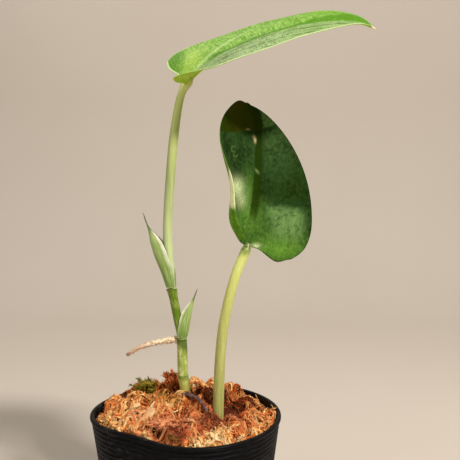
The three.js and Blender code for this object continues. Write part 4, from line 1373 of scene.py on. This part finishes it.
STRIPS = {  # places, width, flatness, tint and lift
    "pale_strip": ([(-23, -22.5), (-18.5, -18), (-14, -14), (-7.5, -9)], 2.7, 0.2, 0.85, 2.8),
    "back_strip": ([(3, 17), (6, 15), (9, 12), (11, 9)], 1.5, 0.25, 0.9, 2.6),
    "right_strip": ([(20, 12), (24, 10), (29, 8), (33, 3)], 1.6, 0.25, 0.75, 2.6),
    "white_thread": ([(-6.8, -16.6), (-4, -14), (-0.9, -10.5)], 0.5, 0.4, 1.0, 2.4),
    "tan_roll": ([(-31, -20), (-26, -23), (-20, -27), (-13, -30.5)], 1.5, 0.4, 0.62, 1.6),
    "left_flap": ([(-37, -8), (-33, -13), (-27.5, -15.5), (-23, -12)], 1.9, 0.25, 0.75, 2.0),
}


def make_strips(paint):
    """The few large strips that stand out of the rest."""
    bodies, tints, steps, sides = [], [], 24, 8
    arch = np.sin(np.pi * np.linspace(0, 1, steps))
    for places, width, flat, tint, lift in STRIPS.values():
        x, y = spline(places, steps).T
        z = mix(top(x, y), moss_height(x, y), 0.75) + lift * (0.1 + 0.45 * arch)
        path = np.c_[x, y, z + 0.3 * hills(x / 3, y / 3)]
        bodies.append(ragged(path[None], np.array([width]), sides, flat, 0.15))
        tints.append(tint)
    add_moss("moss_strips", join(bodies), paint, np.array(tints), steps, sides)


TUFTS = {
    "green_moss": dict(
        foot=(-22, 15), count=32, height=7.8, lean=7, width=0.5, droop=0.15, sunk=2.0,
        tones=[(44, 38, 4), (98, 90, 14), (142, 126, 28), (180, 156, 58)],
    ),
    "red_moss": dict(
        foot=(-8.6, 11), count=30, height=10, lean=4.8, width=0.5, droop=0.15, sunk=0,
        tones=[(140, 36, 8), (210, 84, 32), (240, 130, 60), (252, 178, 108)],
    ),
    "pink_moss": dict(
        foot=(-9.5, -24), count=30, height=3.4, lean=7.4, width=0.4, droop=0.3, sunk=0.3,
        tones=[(150, 66, 36), (216, 120, 76), (238, 154, 102), (246, 188, 138)],
    ),
}


def tuft_paint(name, low, middle, high, tip):
    """A colour for each shoot and leaf, dark at its foot and pale at its tip."""
    p = Paint(name, Roughness=0.9, Specular_IOR_Level=0.12)
    colour = p.layers(
        p.ramp(p.number("tint"), (0.05, low), (0.5, middle), (0.9, high)),
        (p.between(p.number("share"), 0.4, 1, 0, 0.6), tip),
        (p.between(p.number("share"), 0, 0.25, 0.7, 0), low),
    )
    p.set(Base_Color=colour)
    return p.material


def ball_mesh(middle, radius, rings=8, sides=12):
    """A closed ball as stacked rings."""
    angle = np.linspace(0.15, math.pi - 0.15, rings)
    path = np.array(middle) - radius * np.cos(angle)[:, None] * [0, 0, 1]
    return tube(path, radius * np.sin(angle), sides)


def make_tuft(name, tuft):
    """A clump of leafy shoots that spread from one ball in the moss, each feathered with pointed leaves. It
    leans out as its share to the power 1.3 and rises as 1.35 times its share less a part of its square."""
    x, y = tuft["foot"]
    z = float(moss_height(x, y)) - tuft["sunk"]
    count, width, steps, sides = tuft["count"], tuft["width"], 10, 6
    heading = 2 * np.pi * (np.arange(count) + 0.8 * random.random(count)) / count
    out = tuft["lean"] * drawn(count, 0.25, 1.1)[:, None]
    tall = tuft["height"] * drawn(count, 0.55, 1.1)[:, None]
    u = np.linspace(0, 1, steps)[None]
    level = [out * np.cos(heading)[:, None] * u**1.3, out * np.sin(heading)[:, None] * u**1.3]
    paths = np.stack([*level, tall * (1.35 * u - (0.35 + tuft["droop"]) * u**2)], -1) + [x, y, z]
    core = tubes(paths, width * mix(1, 0.35, u) * np.ones((count, 1)), sides)
    points, faces, row = scales(paths, 60, np.full(count, width * 3.8), 0.8)
    ball = ball_mesh((x, y, z), width * 3.2)
    none = np.zeros(len(ball[0]))
    shoots = np.broadcast_to(u[:, :, None], (count, steps, sides)).ravel()
    share = np.r_[shoots, np.tile([0.3, 0.3, 0.3, 1], len(row)), none]
    tint = np.r_[np.repeat(random.random(count), steps * sides), np.repeat(random.random(len(row)), 4), none]
    paint = tuft_paint(name + "_leaf", *tuft["tones"])
    body = join([core, (points, faces), ball])
    piece(name + "_tuft", *body, paint, name, [name], share=share, tint=tint)


make_mound(mound_paint())
paint = moss_paint()
make_strands(paint)
make_flakes(paint)
make_wisps(paint)
make_strips(paint)
for name, tuft in TUFTS.items():
    make_tuft(name, tuft)

# Floor, light


def floor_paint():
    """Warm pale paper, which gets lighter from about a metre away."""
    p = Paint("floor_paper", Roughness=0.9, Specular_IOR_Level=0.1)
    where = p.place()
    near = p.mix(p.noise(where, 0.004, 3), (194, 184, 173), (202, 193, 183))
    away = p.node("VectorMath", {0: where}, 1, operation="LENGTH")
    p.set(Base_Color=p.mix(p.between(away, 1050, 1900), near, (246, 244, 240)))
    return p.material


def stage(material):
    """A pale floor that sweeps up behind the part, through a quarter of a circle, in metres."""
    start, radius, angle = 0.55, 0.35, np.linspace(0.1, math.pi / 2, 16)
    y = np.r_[-6, -1.6, np.linspace(-0.2, start, 10), start + radius * np.sin(angle), start + radius]
    z = np.r_[np.zeros(12), radius - radius * np.cos(angle), 1.9]
    points = np.stack(np.broadcast_arrays(np.linspace(-6, 6, 5), y[:, None], z[:, None]), -1)
    index = np.arange(len(y) * 5).reshape(-1, 5)
    floor = mesh_object("floor", points.reshape(-1, 3), grid_quads(index).tolist(), material)


def lamp(name, place, target, size, power, colour):
    """A round area lamp that faces its target."""
    data = bpy.data.lights.new(name, "AREA")
    data.shape = "DISK"
    data.size = size
    data.energy = power
    data.color = colour
    obj = bpy.data.objects.new(name, data)
    obj.location = place
    obj.rotation_euler = (Vector(target) - Vector(place)).to_track_quat("-Z", "Y").to_euler()
    link(obj)


stage(floor_paint())
middle = (0.01, 0, 0.15)
lamp("key", (0.62, -0.62, 1.05), middle, 0.16, 20, (1, 0.95, 0.87))
lamp("fill", (-0.9, -0.9, 0.7), middle, 0.9, 4.5, (1, 0.97, 0.93))
lamp("back", (-0.3, 0.5, 1.2), middle, 0.6, 3.5, (1, 0.96, 0.9))
world = bpy.data.worlds.new("world")
world.use_nodes = True
world.node_tree.nodes["Background"].inputs[0].default_value = (0.8, 0.75, 0.68, 1)
world.node_tree.nodes["Background"].inputs[1].default_value = 0.26
bpy.context.scene.world = world
bpy.context.scene.view_settings.view_transform = "Standard"
